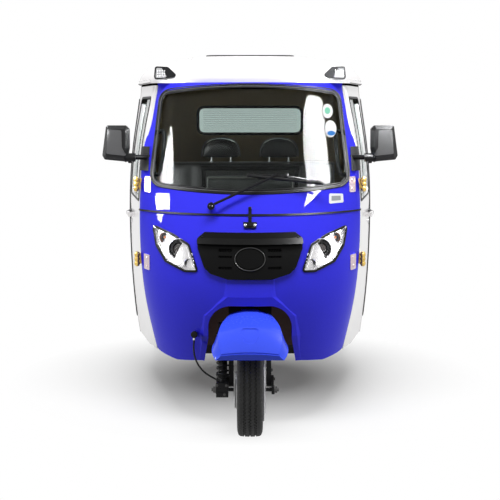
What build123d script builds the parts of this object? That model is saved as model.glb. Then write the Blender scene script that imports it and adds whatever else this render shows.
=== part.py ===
from build123d import *
import functools
import math
import os

# Three wheeled auto rickshaw, in millimetres. +Z up, the nose faces -Y, +X is the rider's left when
# seen from the front. The origin is on the ground, midway between the foremost and rearmost points.

# ---- wheels and steering ----
front_axle_y = -1130.0
wheelbase = 1950.0
rear_track_half = 538.0
tyre_diameter = 414.0
tyre_width = 114.0
bead_radius = 104.0
bead_half_width = 44.0
rim_wall = 5.0
rim_flange_height = 11.0
wheel_disc_thickness = 7.0
disc_dish = 14.0
hub_wall = 16.0
front_axle_radius = 8.0
rear_axle_radius = 15.0
running_clearance = 0.05
caster_deg = 25.0
stem_radius = 22.0
head_tube_wall = 9.0
head_tube_start = 400.0
head_tube_length = 240.0
handlebar_station = 880.0
handlebar_half_width = 270.0
handlebar_radius = 12.0
handlebar_setback = 200.0
handlebar_clamp_half = 46.0
handlebar_bend_radius = 40.0
clamp_wall = 6.0
grip_length = 120.0
grip_radius = 17.0
crown_drop = 24.0
crown_height = 44.0
crown_depth = 54.0
fork_inner_x = 74.0
fork_plate = 22.0
link_thickness = 11.0
brake_link_width = 54.0
damper_radius = 20.0
damper_top_y = -1010.0
damper_top_z = 468.0
hose_radius = 4.0
hose_arc_share = 0.45
hose_fitting_length = 16.0
moving_gap = 6.0

# x, y, z of the brake hose's route, from the boss in the nose to the brake
HOSE_ROUTE = ((-252.0, -1016.0, 418.0), (-256.0, -1024.0, 374.0), (-248.0, -1052.0, 330.0),
              (-222.0, -1084.0, 292.0), (-185.0, -1112.0, 266.0), (-147.0, -1130.0, 252.0))

# ---- body shell ----
wall = 28.0
flare_y = 70.0
front_corner_radius = 80.0
flare_radius = 400.0
tail_corner_radius = 130.0
nose_bottom_z = 288.0
body_bottom_z = 246.0
seam_z = 970.0
seam_bead_height = 8.0
roof_z = 1572.0
pillar_y = -650.0
pillar_knee_z = 1075.0
pillar_slope = 0.53
door_rear_y = 20.0
post_width = 46.0
doorway_rear_y = 540.0
doorway_sill_z = 330.0
doorway_head_z = 1490.0
tail_split_y = 1130.0
tail_bottom_z = 325.0
door_gap = 6.0

# z, front half width, y of the nose, y of the front corner, side half width, y of the tail
BODY_SECTIONS = (
    (240.0, 430.0, -1000.0, -690.0, 606.0, 1290.0),
    (440.0, 476.0, -1066.0, -685.0, 628.0, 1302.0),
    (620.0, 508.0, -1084.0, -680.0, 640.0, 1306.0),
    (800.0, 521.0, -1046.0, -680.0, 646.0, 1306.0),
    (970.0, 523.0, -950.0, -675.0, 646.0, 1302.0),
    (1200.0, 518.0, -808.0, -600.0, 632.0, 1288.0),
    (1600.0, 474.0, -546.0, -390.0, 584.0, 1250.0),
)

# height above the body's top edge, inset from the body's outline
ROOF_OUTER = ((0.0, -6.0), (28.0, -4.0), (66.0, 22.0), (104.0, 92.0), (136.0, 250.0))
roof_thickness = 26.0


def block(x0, x1, y0, y1, z0, z1):
    """Box between two corners."""
    centre = Pos((x0 + x1) / 2, (y0 + y1) / 2, (z0 + z1) / 2)
    return centre * Box(x1 - x0, y1 - y0, z1 - z0)


def rounded(points, radius):
    """Closed outline through points, every corner rounded, its face always looking up."""
    points = list(points)
    pairs = zip(points, points[1:] + points[:1])
    if sum(a[0] * b[1] - b[0] * a[1] for a, b in pairs) < 0:
        points.reverse()
    outline = Polygon(*points, align=None)
    if radius <= 0:
        return outline
    return fillet(outline.vertices(), radius)


def side_prism(points, x0, x1, radius=0.0):
    """Outline of (y, z) points between two x planes."""
    plane = Plane(origin=(x0, 0, 0), x_dir=(0, 1, 0), z_dir=(1, 0, 0))
    return extrude(plane * rounded(points, radius), x1 - x0)


def front_prism(points, y0, y1, radius=0.0):
    """Outline of (x, z) points between two y planes."""
    plane = Plane(origin=(0, y1, 0), x_dir=(1, 0, 0), z_dir=(0, -1, 0))
    return extrude(plane * rounded(points, radius), y1 - y0)


def plan_prism(points, z0, z1, radius=0.0):
    """Outline of (x, y) points between two z planes."""
    plane = Plane(origin=(0, 0, z0))
    return extrude(plane * rounded(points, radius), z1 - z0)


def rod(start, end, radius):
    """Straight round bar between two points."""
    line = Vector(*end) - Vector(*start)
    plane = Plane(origin=start, z_dir=line)
    return extrude(plane * Circle(radius), line.length)


def both_sides(piece):
    """A piece and its mirror image on the other side of the centre plane."""
    return piece + mirror(piece, Plane.YZ)


def row_at(z):
    """Body section values at a height, in between the rows of the table."""
    rows = BODY_SECTIONS
    for low, high in zip(rows, rows[1:]):
        if z <= high[0]:
            break
    share = (z - low[0]) / (high[0] - low[0])
    return tuple(a + share * (b - a) for a, b in zip(low, high))


def body_plan(row, inset, z):
    """Horizontal outline of the body, moved inwards by inset."""
    _, front_half, nose_y, corner_y, side_half, tail_y = row
    sag = corner_y - nose_y
    bow = (front_half ** 2 + sag ** 2) / (2 * sag)
    centre_y = nose_y + bow
    front_half -= inset
    side_half -= inset
    bow -= inset
    tail_y -= inset
    nose_y += inset
    corner_y = centre_y - math.sqrt(bow ** 2 - front_half ** 2)
    front = ThreePointArc((-front_half, corner_y), (0, nose_y), (front_half, corner_y))
    rest = Polyline(
        (front_half, corner_y),
        (side_half, flare_y),
        (side_half, tail_y),
        (-side_half, tail_y),
        (-side_half, flare_y),
        (-front_half, corner_y),
    )
    face = make_face([front, rest])
    corner = max(front_corner_radius - inset, front_corner_radius / 2)
    tail = max(tail_corner_radius - inset, tail_corner_radius / 2)
    corners = [v for v in face.vertices() if v.Y < corner_y + 1]
    face = fillet(corners, corner)
    flares = [v for v in face.vertices() if abs(v.Y - flare_y) < 0.1]
    face = fillet(flares, flare_radius)
    tails = [v for v in face.vertices() if v.Y > tail_y - 0.1]
    face = fillet(tails, tail)
    return Pos(0, 0, z) * face


@functools.lru_cache(maxsize=None)
def body_loft(inset):
    """Solid body form, moved inwards by inset."""
    return loft([body_plan(row, inset, row[0]) for row in BODY_SECTIONS])


def skin(outside, inside, zone):
    """Layer of the body's form between two insets, within a zone."""
    return (body_loft(outside) & zone) - body_loft(inside)


def pillar_at(z):
    """The y of the line where the front shell meets the doors."""
    return pillar_y + max(0.0, z - pillar_knee_z) * pillar_slope


def ahead_of_pillar(gap, low_z, high_z):
    """Everything in front of the pillar line less a gap, between two heights."""
    points = [
        (-1600, low_z),
        (pillar_at(low_z) + gap, low_z),
        (pillar_at(pillar_knee_z) + gap, pillar_knee_z),
        (pillar_at(high_z) + gap, high_z),
        (-1600, high_z),
    ]
    if low_z >= pillar_knee_z or high_z <= pillar_knee_z:
        points.pop(2)
    return side_prism(points, -800, 800)


# ---- front body ----
arch_half_width = 188.0
arch_top_z = 575.0
arch_corner_radius = 105.0
arch_splay = 46.0

# x, z of the windscreen opening's lower half outline seen from the front
screen_bottom_mid_z = 1062.0
screen_bottom_end_z = 1092.0
screen_half_bottom = 474.0
screen_half_top = 438.0
screen_top_end_z = 1530.0
screen_top_mid_z = 1562.0
screen_corner_radius = 46.0
seal_width = 17.0
seal_proud = 4.0
glass_inset = 9.0
glass_thickness = 6.0


def screen_prism(grow, y0, y1):
    """Windscreen outline seen from the front, grown on all sides."""
    low = screen_bottom_end_z - grow
    high = screen_top_end_z + grow
    half_low = screen_half_bottom + grow
    half_high = screen_half_top + grow
    plane = Plane(origin=(0, y1, 0), x_dir=(1, 0, 0), z_dir=(0, -1, 0))
    bottom = ThreePointArc((-half_low, low), (0, screen_bottom_mid_z - grow), (half_low, low))
    right = Line((half_low, low), (half_high, high))
    top = ThreePointArc((half_high, high), (0, screen_top_mid_z + grow), (-half_high, high))
    left = Line((-half_high, high), (-half_low, low))
    face = make_face([bottom, right, top, left])
    face = fillet(face.vertices(), screen_corner_radius + grow)
    return extrude(plane * face, y1 - y0)


def wheel_arch(grow):
    """Opening in the nose that the mudguard turns in."""
    half = arch_half_width + grow
    foot = half + arch_splay
    points = ((foot, 150), (half, 420), (half, arch_top_z + grow),
              (-half, arch_top_z + grow), (-half, 420), (-foot, 150))
    outline = Polygon(*points, align=None)
    tops = [v for v in outline.vertices() if v.Y > arch_top_z - 1]
    outline = fillet(tops, arch_corner_radius + grow)
    plane = Plane(origin=(0, -900, 0), x_dir=(1, 0, 0), z_dir=(0, -1, 0))
    return extrude(plane * outline, 500)


# x, z up one side of the nose's edge seen from the front, past the seam
NOSE_EDGE = ((225.0, 306.0), (340.0, nose_bottom_z), (452.0, 304.0), (600.0, 700.0), (600.0, 1300.0))
nose_corner_radius = 36.0

# z, half width of the swelling from the grille down and round the wheel arch
SWELL_ROWS = ((730.0, 130.0), (690.0, 128.0), (615.0, 122.0), (585.0, 158.0), (525.0, 222.0), (430.0, 234.0),
              (290.0, 256.0))
swell_proud = 10.0
swell_side_width = 22.0

# ---- grille and lamps ----
# x, z down one side of the grille seen from the front
GRILLE_EDGE = ((205.0, 895.0), (240.0, 866.0), (236.0, 822.0), (206.0, 742.0), (178.0, 716.0), (98.0, 693.0))
grille_corner_radius = 14.0
grille_proud = 12.0
grille_depth = 24.0
grille_lip_z = 846.0
grille_lip_proud = 34.0
# low z, high z of the slots beside the badge place
GRILLE_SLOTS = ((812.0, 826.0), (787.0, 796.0), (737.0, 749.0))
grille_slot_start = 80.0
grille_slot_end = 140.0
grille_slot_depth = 9.0
badge_half_width = 70.0
badge_half_height = 52.0
badge_z = 783.0
badge_ring_width = 6.0
badge_proud = 4.0

# x, z round the headlamp seen from the front
LAMP_OUTLINE = ((232.0, 719.0), (276.0, 838.0), (351.0, 878.0), (458.0, 912.0), (438.0, 819.0), (390.0, 752.0),
                (295.0, 716.0))
lamp_corner_radius = 15.0
lamp_gasket_width = 8.0
lamp_proud = 3.0
lamp_depth = 58.0
lamp_recess = 8.0
lens_thickness = 5.0
# x, z, mouth radius, depth of the reflectors in the lamp
REFLECTORS = ((324.0, 812.0, 48.0, 40.0), (392.0, 856.0, 27.0, 26.0), (277.0, 752.0, 22.0, 20.0))
reflector_taper = 0.6
projector_radius = 29.0
projector_length = 24.0

# ---- roof and its fittings ----
hatch_half_width = 228.0
hatch_front_y = -170.0
hatch_rear_y = 430.0
hatch_rim_height = 12.0
hatch_corner_radius = 60.0
# x, z up one side of the latch's base and strap seen from the front
LATCH_BASE = ((27.0, 915.0), (32.0, 940.0))
LATCH_STRAP = ((8.0, 924.0), (7.0, 1006.0))
latch_base_proud = 8.0
latch_strap_proud = 17.0
seal_gap = 0.3
marker_front_y = -480.0
marker_rear_y = -350.0
marker_corner_radius = 12.0
# x, z round the corner marker lamp seen from the front
MARKER_OUTLINE = ((345.0, 1600.0), (468.0, 1588.0), (462.0, 1652.0), (400.0, 1650.0))

# ---- mirrors, x, z seen from the front ----
MIRROR_OUTLINE = ((571.0, 1352.0), (571.0, 1262.0), (583.0, 1198.0), (688.0, 1208.0), (699.0, 1228.0),
                  (679.0, 1369.0), (588.0, 1369.0))
mirror_corner_radius = 9.0
mirror_front_y = -694.0
mirror_rear_y = -640.0
mirror_bevel_depth = 20.0
mirror_bevel_deg = 40.0
mirror_glass_border = 9.0
mirror_glass_thickness = 3.0
mirror_arm_radius = 12.0
mirror_knuckle_radius = 20.0
mirror_knuckle_length = 28.0
mirror_knuckle_margin = 1.0
mirror_foot_width = 34.0
mirror_arm_z = 1218.0
mirror_foot_low_z = 1155.0
mirror_foot_high_z = 1267.0
mirror_foot_proud = 9.0

# ---- doors ----
door_front_bottom_z = 292.0
door_bottom_z = 252.0
door_low_y = -330.0
door_top_z = roof_z - 10.0
door_open_deg = 65.0
hinge_x = 541.0
hinge_y = -664.0
hinge_barrel_radius = 9.0
hinge_barrel_height = 62.0
hinge_leaf_thickness = 5.0
HINGE_HEIGHTS = (733.0, 1092.0)
door_window_sill_z = 1010.0
door_window_head_z = 1500.0
door_window_margin = 62.0
door_glass_thickness = 5.0
door_handle_z = 900.0
door_handle_length = 130.0
door_handle_height = 22.0
door_handle_margin = 40.0
door_handle_reach = 26.0

# ---- cabin ----
floor_z = 318.0
floor_thickness = 12.0
riser_y = 545.0
deck_z = 600.0
seat_cushion_thickness = 110.0
driver_seat_half_width = 235.0
driver_seat_front_y = -140.0
driver_seat_depth = 330.0
driver_seat_top_z = 700.0
bench_half_width = 520.0
bench_front_y = 530.0
bench_depth = 400.0
bench_top_z = 742.0
bench_back_height = 380.0
bench_back_thickness = 95.0
headrest_x = 180.0
headrest_width = 230.0
headrest_height = 112.0

# ---- frame under the floor ----
rail_outer_x = 330.0
rail_width = 50.0
rail_height = 62.0
rail_front_y = -660.0
rail_rear_y = 1250.0
crossmember_height = 52.0
crossmember_width = 44.0
deck_post_y = 1150.0

# front face y, half length
CROSSMEMBERS = ((-640.0, 380.0), (-60.0, 480.0), (480.0, 640.0), (1200.0, 540.0))

# ---- tail ----
rear_window_half_width = 327.0
rear_window_bottom_z = 1296.0
rear_window_top_z = 1454.0
hatch_lid_half_width = 430.0
hatch_lid_bottom_z = 345.0
hatch_lid_top_z = 770.0
hatch_lid_open_deg = 75.0
bumper_rear_y = 1370.0
bumper_radius = 20.0
bumper_half_width = 480.0
bumper_z = 318.0
tow_eye_thickness = 12.0
tow_eye_bore_radius = 11.0
tow_eye_y = 1288.0
tow_eye_z = 248.0
tow_eye_half_size = 26.0
wheel_opening_radius = 268.0
wheel_opening_z = 250.0

rear_axle_y = front_axle_y + wheelbase
axle_z = tyre_diameter / 2
tyre_radius = tyre_diameter / 2
caster = math.radians(caster_deg)


def on_steering_axis(station):
    """Point on the steering axis, measured up from the front axle."""
    return (0.0, front_axle_y + station * math.sin(caster), axle_z + station * math.cos(caster))


def steering_plane(station):
    """Plane square to the steering axis, its y pointing back and down."""
    return Plane(origin=on_steering_axis(station), x_dir=(1, 0, 0),
                 z_dir=(0, math.sin(caster), math.cos(caster)))


def tyre():
    """Tyre section turned about the axle, centred on its own origin."""
    half = tyre_width / 2
    tread_half = half - 16
    shoulder = tyre_radius - 14
    waist = (tyre_radius + bead_radius) / 2
    face = make_face([
        Line((-bead_half_width, bead_radius), (bead_half_width, bead_radius)),
        Line((bead_half_width, bead_radius), (bead_half_width, bead_radius + rim_flange_height + 2)),
        ThreePointArc((bead_half_width, bead_radius + rim_flange_height + 2), (half, waist), (half - 4, shoulder)),
        Line((half - 4, shoulder), (tread_half, tyre_radius - 2)),
        ThreePointArc((tread_half, tyre_radius - 2), (0, tyre_radius), (-tread_half, tyre_radius - 2)),
        Line((-tread_half, tyre_radius - 2), (4 - half, shoulder)),
        ThreePointArc((4 - half, shoulder), (-half, waist), (-bead_half_width, bead_radius + rim_flange_height + 2)),
        Line((-bead_half_width, bead_radius + rim_flange_height + 2), (-bead_half_width, bead_radius)),
    ])
    return revolve(face, Axis.X)


def rim(axle_radius, disc_x, hub_half_length):
    """Pressed rim with its disc and hub, turned about the axle."""
    bore = axle_radius + running_clearance
    inner = bead_radius - rim_wall
    flange = bead_radius + rim_flange_height
    barrel_half = bead_half_width + 4
    dish = disc_x + wheel_disc_thickness
    barrel = rounded((
        (-barrel_half, inner), (barrel_half, inner), (barrel_half, flange), (bead_half_width, flange),
        (bead_half_width, bead_radius), (-bead_half_width, bead_radius), (-bead_half_width, flange),
        (-barrel_half, flange)), 0)
    disc = rounded((
        (disc_x, inner + 1), (dish, inner + 1), (dish + disc_dish, bore + 30), (dish + disc_dish, bore + 2),
        (disc_x + disc_dish, bore + 2), (disc_x + disc_dish, bore + 30)), 0)
    hub = rounded((
        (-hub_half_length, bore), (hub_half_length, bore), (hub_half_length, bore + hub_wall),
        (-hub_half_length, bore + hub_wall)), 0)
    return revolve(barrel + disc + hub, Axis.X)


def at_front_axle(piece):
    return Pos(0, front_axle_y, axle_z) * piece


def at_rear_axle(piece, side):
    if side < 0:
        piece = mirror(piece, Plane.YZ)
    return Pos(side * rear_track_half, rear_axle_y, axle_z) * piece


def mirrored_outline(edge):
    """Closed outline from one side's points and the same points on the other side."""
    return tuple(edge) + tuple((-x, z) for x, z in reversed(edge))


def nose_y(x, z):
    """The y of the nose's surface at a place seen from the front."""
    _, front_half, nose, corner, _, _ = row_at(z)
    sag = corner - nose
    bow = (front_half ** 2 + sag ** 2) / (2 * sag)
    return nose + bow - math.sqrt(bow ** 2 - x ** 2)


def swell_section(z, half):
    """Plan of the swelling at a height: a raised arc with a slope at each side."""
    crest = half - swell_side_width
    foot_y = nose_y(half, z) + wall / 2
    slope_y = nose_y(half, z) + 1
    crest_y = nose_y(crest, z) - swell_proud
    face = make_face([
        ThreePointArc((-crest, crest_y), (0, nose_y(0, z) - swell_proud), (crest, crest_y)),
        Line((crest, crest_y), (half, slope_y)),
        Line((half, slope_y), (half, foot_y)),
        Line((half, foot_y), (-half, foot_y)),
        Line((-half, foot_y), (-half, slope_y)),
        Line((-half, slope_y), (-crest, crest_y)),
    ])
    return Pos(0, 0, z) * face


def grille_prism(gap):
    """Grille outline less a gap all round, run through the nose."""
    outline = rounded(mirrored_outline(GRILLE_EDGE), grille_corner_radius)
    if gap:
        outline = offset(outline, -gap)
    plane = Plane(origin=(0, -800, 0), x_dir=(1, 0, 0), z_dir=(0, -1, 0))
    return extrude(plane * outline, 600)


def lamp_prism(grow):
    """Headlamp outline of the +X side run through the nose, grown on all sides."""
    outline = rounded(LAMP_OUTLINE, lamp_corner_radius)
    if grow:
        outline = offset(outline, grow)
    plane = Plane(origin=(0, -640, 0), x_dir=(1, 0, 0), z_dir=(0, -1, 0))
    return extrude(plane * outline, 760)


def nose_panel(shell):
    """Front shell below the seam, with its swelling, wheel arch, grille and lamp openings."""
    edge = front_prism(mirrored_outline(NOSE_EDGE), -1500, -500, nose_corner_radius)
    nose = shell & ahead_of_pillar(0.0, body_bottom_z, seam_z - seam_bead_height / 2) & edge
    swell = loft([swell_section(z, half) for z, half in SWELL_ROWS], ruled=True)
    nose += (swell & edge) - body_loft(wall / 4)
    nose -= wheel_arch(0.0)
    nose -= grille_prism(0.0)
    nose -= both_sides(lamp_prism(0.0))
    return nose + hose_grommet()


def grille_panel():
    """Grille that stands proud of the nose, with an overhanging lip, slots and a blank badge place."""
    zone = grille_prism(seal_gap)
    panel = skin(-grille_proud, grille_depth, zone)
    lip_top = GRILLE_EDGE[0][1]
    lip = loft([body_plan(row_at(grille_lip_z), -grille_lip_proud, grille_lip_z),
                body_plan(row_at(lip_top), -1.0, lip_top)])
    panel += (lip & zone) - body_loft(grille_depth)
    slots = None
    for low, high in GRILLE_SLOTS:
        slot = block(grille_slot_start, grille_slot_end, -1400, -900, low, high)
        slots = slot if slots is None else slots + slot
    panel -= both_sides(slots) - body_loft(grille_slot_depth - grille_proud)
    plane = Plane(origin=(0, -900, badge_z), x_dir=(1, 0, 0), z_dir=(0, -1, 0))
    ring = Ellipse(badge_half_width, badge_half_height) - Ellipse(
        badge_half_width - badge_ring_width, badge_half_height - badge_ring_width)
    return panel + skin(-grille_proud - badge_proud, 1.0 - grille_proud, extrude(plane * ring, 400))


def headlamp_bowl():
    """Lamp housing of the +X side: gasket, recess, reflectors and a projector barrel in the main one."""
    back_of_lens = lens_thickness - lamp_proud
    zone = lamp_prism(0.0)
    lens_zone = lamp_prism(-lamp_gasket_width)
    housing = skin(back_of_lens, lamp_depth, zone)
    housing += skin(-lamp_proud, wall, zone - lens_zone)
    housing -= skin(back_of_lens, back_of_lens + lamp_recess, lamp_prism(-lamp_gasket_width - 3))
    for x, z, radius, depth in REFLECTORS:
        mouth = nose_y(x, z) + back_of_lens + lamp_recess
        plane = Plane(origin=(x, mouth, z), z_dir=(0, 1, 0))
        housing -= extrude(plane * Circle(radius), depth, taper=math.degrees(math.atan(reflector_taper)))
    x, z, _, depth = REFLECTORS[0]
    end_y = nose_y(x, z) + back_of_lens + lamp_recess + depth
    barrel = rod((x, end_y - projector_length, z), (x, end_y + 2, z), projector_radius)
    return housing + barrel


def build():
    """All pieces by name."""
    pieces = {}
    outer = body_loft(0.0)
    inner = body_loft(wall)
    shell = outer - inner
    
    pieces["nose_panel"] = nose_panel(shell)
    pieces["grille_panel"] = grille_panel()
    pieces["headlamp_bowls"] = both_sides(headlamp_bowl())
    lens = skin(-lamp_proud, lens_thickness - lamp_proud, lamp_prism(-lamp_gasket_width))
    pieces["headlamp_lenses"] = both_sides(lens)

    # windscreen frame above the seam
    frame = shell & ahead_of_pillar(0.0, seam_z + seam_bead_height / 2, roof_z)
    frame -= screen_prism(0.0, -1300, -300)
    pieces["windscreen_frame"] = frame
    pieces["windscreen_glass"] = skin(
        glass_inset, glass_inset + glass_thickness, screen_prism(-seal_width, -1300, -300))
    ring = screen_prism(0.0, -1300, -300) - screen_prism(-seal_width, -1300, -300)
    pieces["windscreen_seal"] = skin(-seal_proud, seal_width, ring)
    bead_zone = ahead_of_pillar(0.0, seam_z - seam_bead_height / 2, seam_z + seam_bead_height / 2)
    pieces["seam_bead"] = skin(-seal_proud, seal_width, bead_zone)

    # roof
    roof_row = row_at(roof_z)
    roof_outer = loft([body_plan(roof_row, inset, roof_z + rise) for rise, inset in ROOF_OUTER])
    hollow = [(rise - roof_thickness, inset + roof_thickness + 6) for rise, inset in ROOF_OUTER[1:]]
    hollow.insert(0, (-6.0, ROOF_OUTER[0][1] + roof_thickness + 6))
    roof_inner = loft([body_plan(roof_row, inset, roof_z + rise) for rise, inset in hollow])
    pieces["roof_shell"] = roof_outer - roof_inner
    roof_top = roof_z + ROOF_OUTER[-1][0]
    hatch_points = ((-hatch_half_width, hatch_front_y), (hatch_half_width, hatch_front_y),
                    (hatch_half_width, hatch_rear_y), (-hatch_half_width, hatch_rear_y))
    pieces["roof_vent"] = plan_prism(hatch_points, roof_top, roof_top + hatch_rim_height, hatch_corner_radius)

    # doors: one shell piece each, a window cut in it and a pane in the cut
    door_zone = side_prism(
        ((-700, door_front_bottom_z), (pillar_y, door_front_bottom_z), (door_low_y, door_bottom_z),
         (door_rear_y, door_bottom_z), (door_rear_y, door_top_z), (-700, door_top_z)), 0, 800)
    door_zone -= ahead_of_pillar(door_gap, body_bottom_z - 20, roof_z + 20)
    window = door_window()
    pane_out = (wall - door_glass_thickness) / 2
    pane_in = (wall + door_glass_thickness) / 2
    door = (shell & door_zone) - window + door_handle()
    pane = skin(pane_out, pane_in, window)
    for side, name in ((1, "left"), (-1, "right")):
        pieces["door_panel_" + name] = on_side(door, side)
        pieces["door_glass_" + name] = on_side(pane, side)
        pieces["door_hinges_" + name] = on_side(door_hinges(), side)

    # side frame round the passenger doorway, and the quarter over the rear wheel
    frame_front = door_rear_y + door_gap
    low_z = body_bottom_z
    side_zone = block(0, 800, frame_front, doorway_rear_y, low_z, roof_z)
    doorway = side_prism(
        ((frame_front + post_width, doorway_sill_z), (doorway_rear_y + 50, doorway_sill_z),
         (doorway_rear_y + 50, doorway_head_z), (frame_front + post_width, doorway_head_z)), 0, 800, 40)
    doorway += block(0, 800, doorway_rear_y - 60, doorway_rear_y + 50, doorway_sill_z, doorway_head_z)
    side_frame = (shell & side_zone) - doorway
    wheel_opening = side_prism(
        ((rear_axle_y - wheel_opening_radius, 100), (rear_axle_y - wheel_opening_radius, wheel_opening_z),
         (rear_axle_y - wheel_opening_radius * 0.62, wheel_opening_z + wheel_opening_radius * 0.78),
         (rear_axle_y + wheel_opening_radius * 0.62, wheel_opening_z + wheel_opening_radius * 0.78),
         (rear_axle_y + wheel_opening_radius, wheel_opening_z), (rear_axle_y + wheel_opening_radius, 100)),
        0, 800, 90)
    quarter = shell & block(0, 800, doorway_rear_y, tail_split_y, low_z, roof_z)
    quarter -= wheel_opening
    for side, name in ((1, "left"), (-1, "right")):
        pieces["side_frame_" + name] = on_side(side_frame, side)
        pieces["rear_quarter_" + name] = on_side(quarter, side)

    # tail: one wall round the rear corners, its window and its lid
    lid_opening = front_prism(
        ((-hatch_lid_half_width, hatch_lid_bottom_z), (hatch_lid_half_width, hatch_lid_bottom_z),
         (hatch_lid_half_width, hatch_lid_top_z), (-hatch_lid_half_width, hatch_lid_top_z)),
        1150, 1450, 40)
    window_outline = front_prism(
        ((-rear_window_half_width, rear_window_bottom_z), (rear_window_half_width, rear_window_bottom_z),
         (rear_window_half_width, rear_window_top_z), (-rear_window_half_width, rear_window_top_z)),
        1100, 1450, 36)
    tail = shell & block(-800, 800, tail_split_y, 1400, tail_bottom_z, roof_z)
    pieces["rear_wall"] = tail - lid_opening - window_outline
    lid_edge = hatch_lid_half_width - moving_gap
    lid_outline = front_prism(
        ((-lid_edge, hatch_lid_bottom_z + moving_gap), (lid_edge, hatch_lid_bottom_z + moving_gap),
         (lid_edge, hatch_lid_top_z - moving_gap), (-lid_edge, hatch_lid_top_z - moving_gap)),
        1150, 1450, 40 - moving_gap)
    pieces["engine_lid"] = tail & lid_outline
    pieces["rear_window"] = skin(pane_out, pane_in, window_outline)

    pieces.update(cabin_pieces(inner))
    pieces.update(running_gear(inner))
    pieces.update(outside_fittings(outer, roof_outer))
    return pieces


def on_side(piece, side):
    """The piece itself on the +X side, its mirror image on the other."""
    return piece if side > 0 else mirror(piece, Plane.YZ)


def door_window():
    """Window opening of the +X door, its front edge along the pillar."""
    margin = door_window_margin
    low = door_window_sill_z
    high = door_window_head_z
    points = [
        (pillar_at(low) + margin, low), (door_rear_y - margin, low),
        (door_rear_y - margin, high), (pillar_at(high) + margin + 14, high),
        (pillar_at(pillar_knee_z) + margin, pillar_knee_z)]
    return side_prism(points, 200, 800, 30)


def door_handle():
    """Pull handle standing off the +X door's outer face on two feet."""
    low = door_handle_z - door_handle_height / 2
    high = door_handle_z + door_handle_height / 2
    rear = door_rear_y - door_handle_margin
    front = rear - door_handle_length
    handle = skin(-door_handle_reach, -door_handle_reach / 2, block(400, 800, front, rear, low, high))
    for foot in (front, rear - door_handle_height):
        handle += skin(-door_handle_reach, 1.0, block(400, 800, foot, foot + door_handle_height, low, high))
    return handle


def door_hinges():
    """Barrel hinges of the +X door, each with a leaf on the door's outer face."""
    hinges = None
    for height in HINGE_HEIGHTS:
        low = height - hinge_barrel_height / 2
        high = height + hinge_barrel_height / 2
        barrel = rod((hinge_x, hinge_y, low), (hinge_x, hinge_y, high), hinge_barrel_radius)
        leaf = skin(-hinge_leaf_thickness, 0.0, block(
            400, 700, pillar_y + door_gap + 2, pillar_y + door_gap + 46, low + 6, high - 6))
        knee = block(hinge_x - 14, hinge_x - 5, hinge_y, pillar_y + door_gap + 12, low + 6, high - 6)
        hinge = barrel + leaf + (knee - body_loft(0.0))
        hinges = hinge if hinges is None else hinges + hinge
    return hinges


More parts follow.
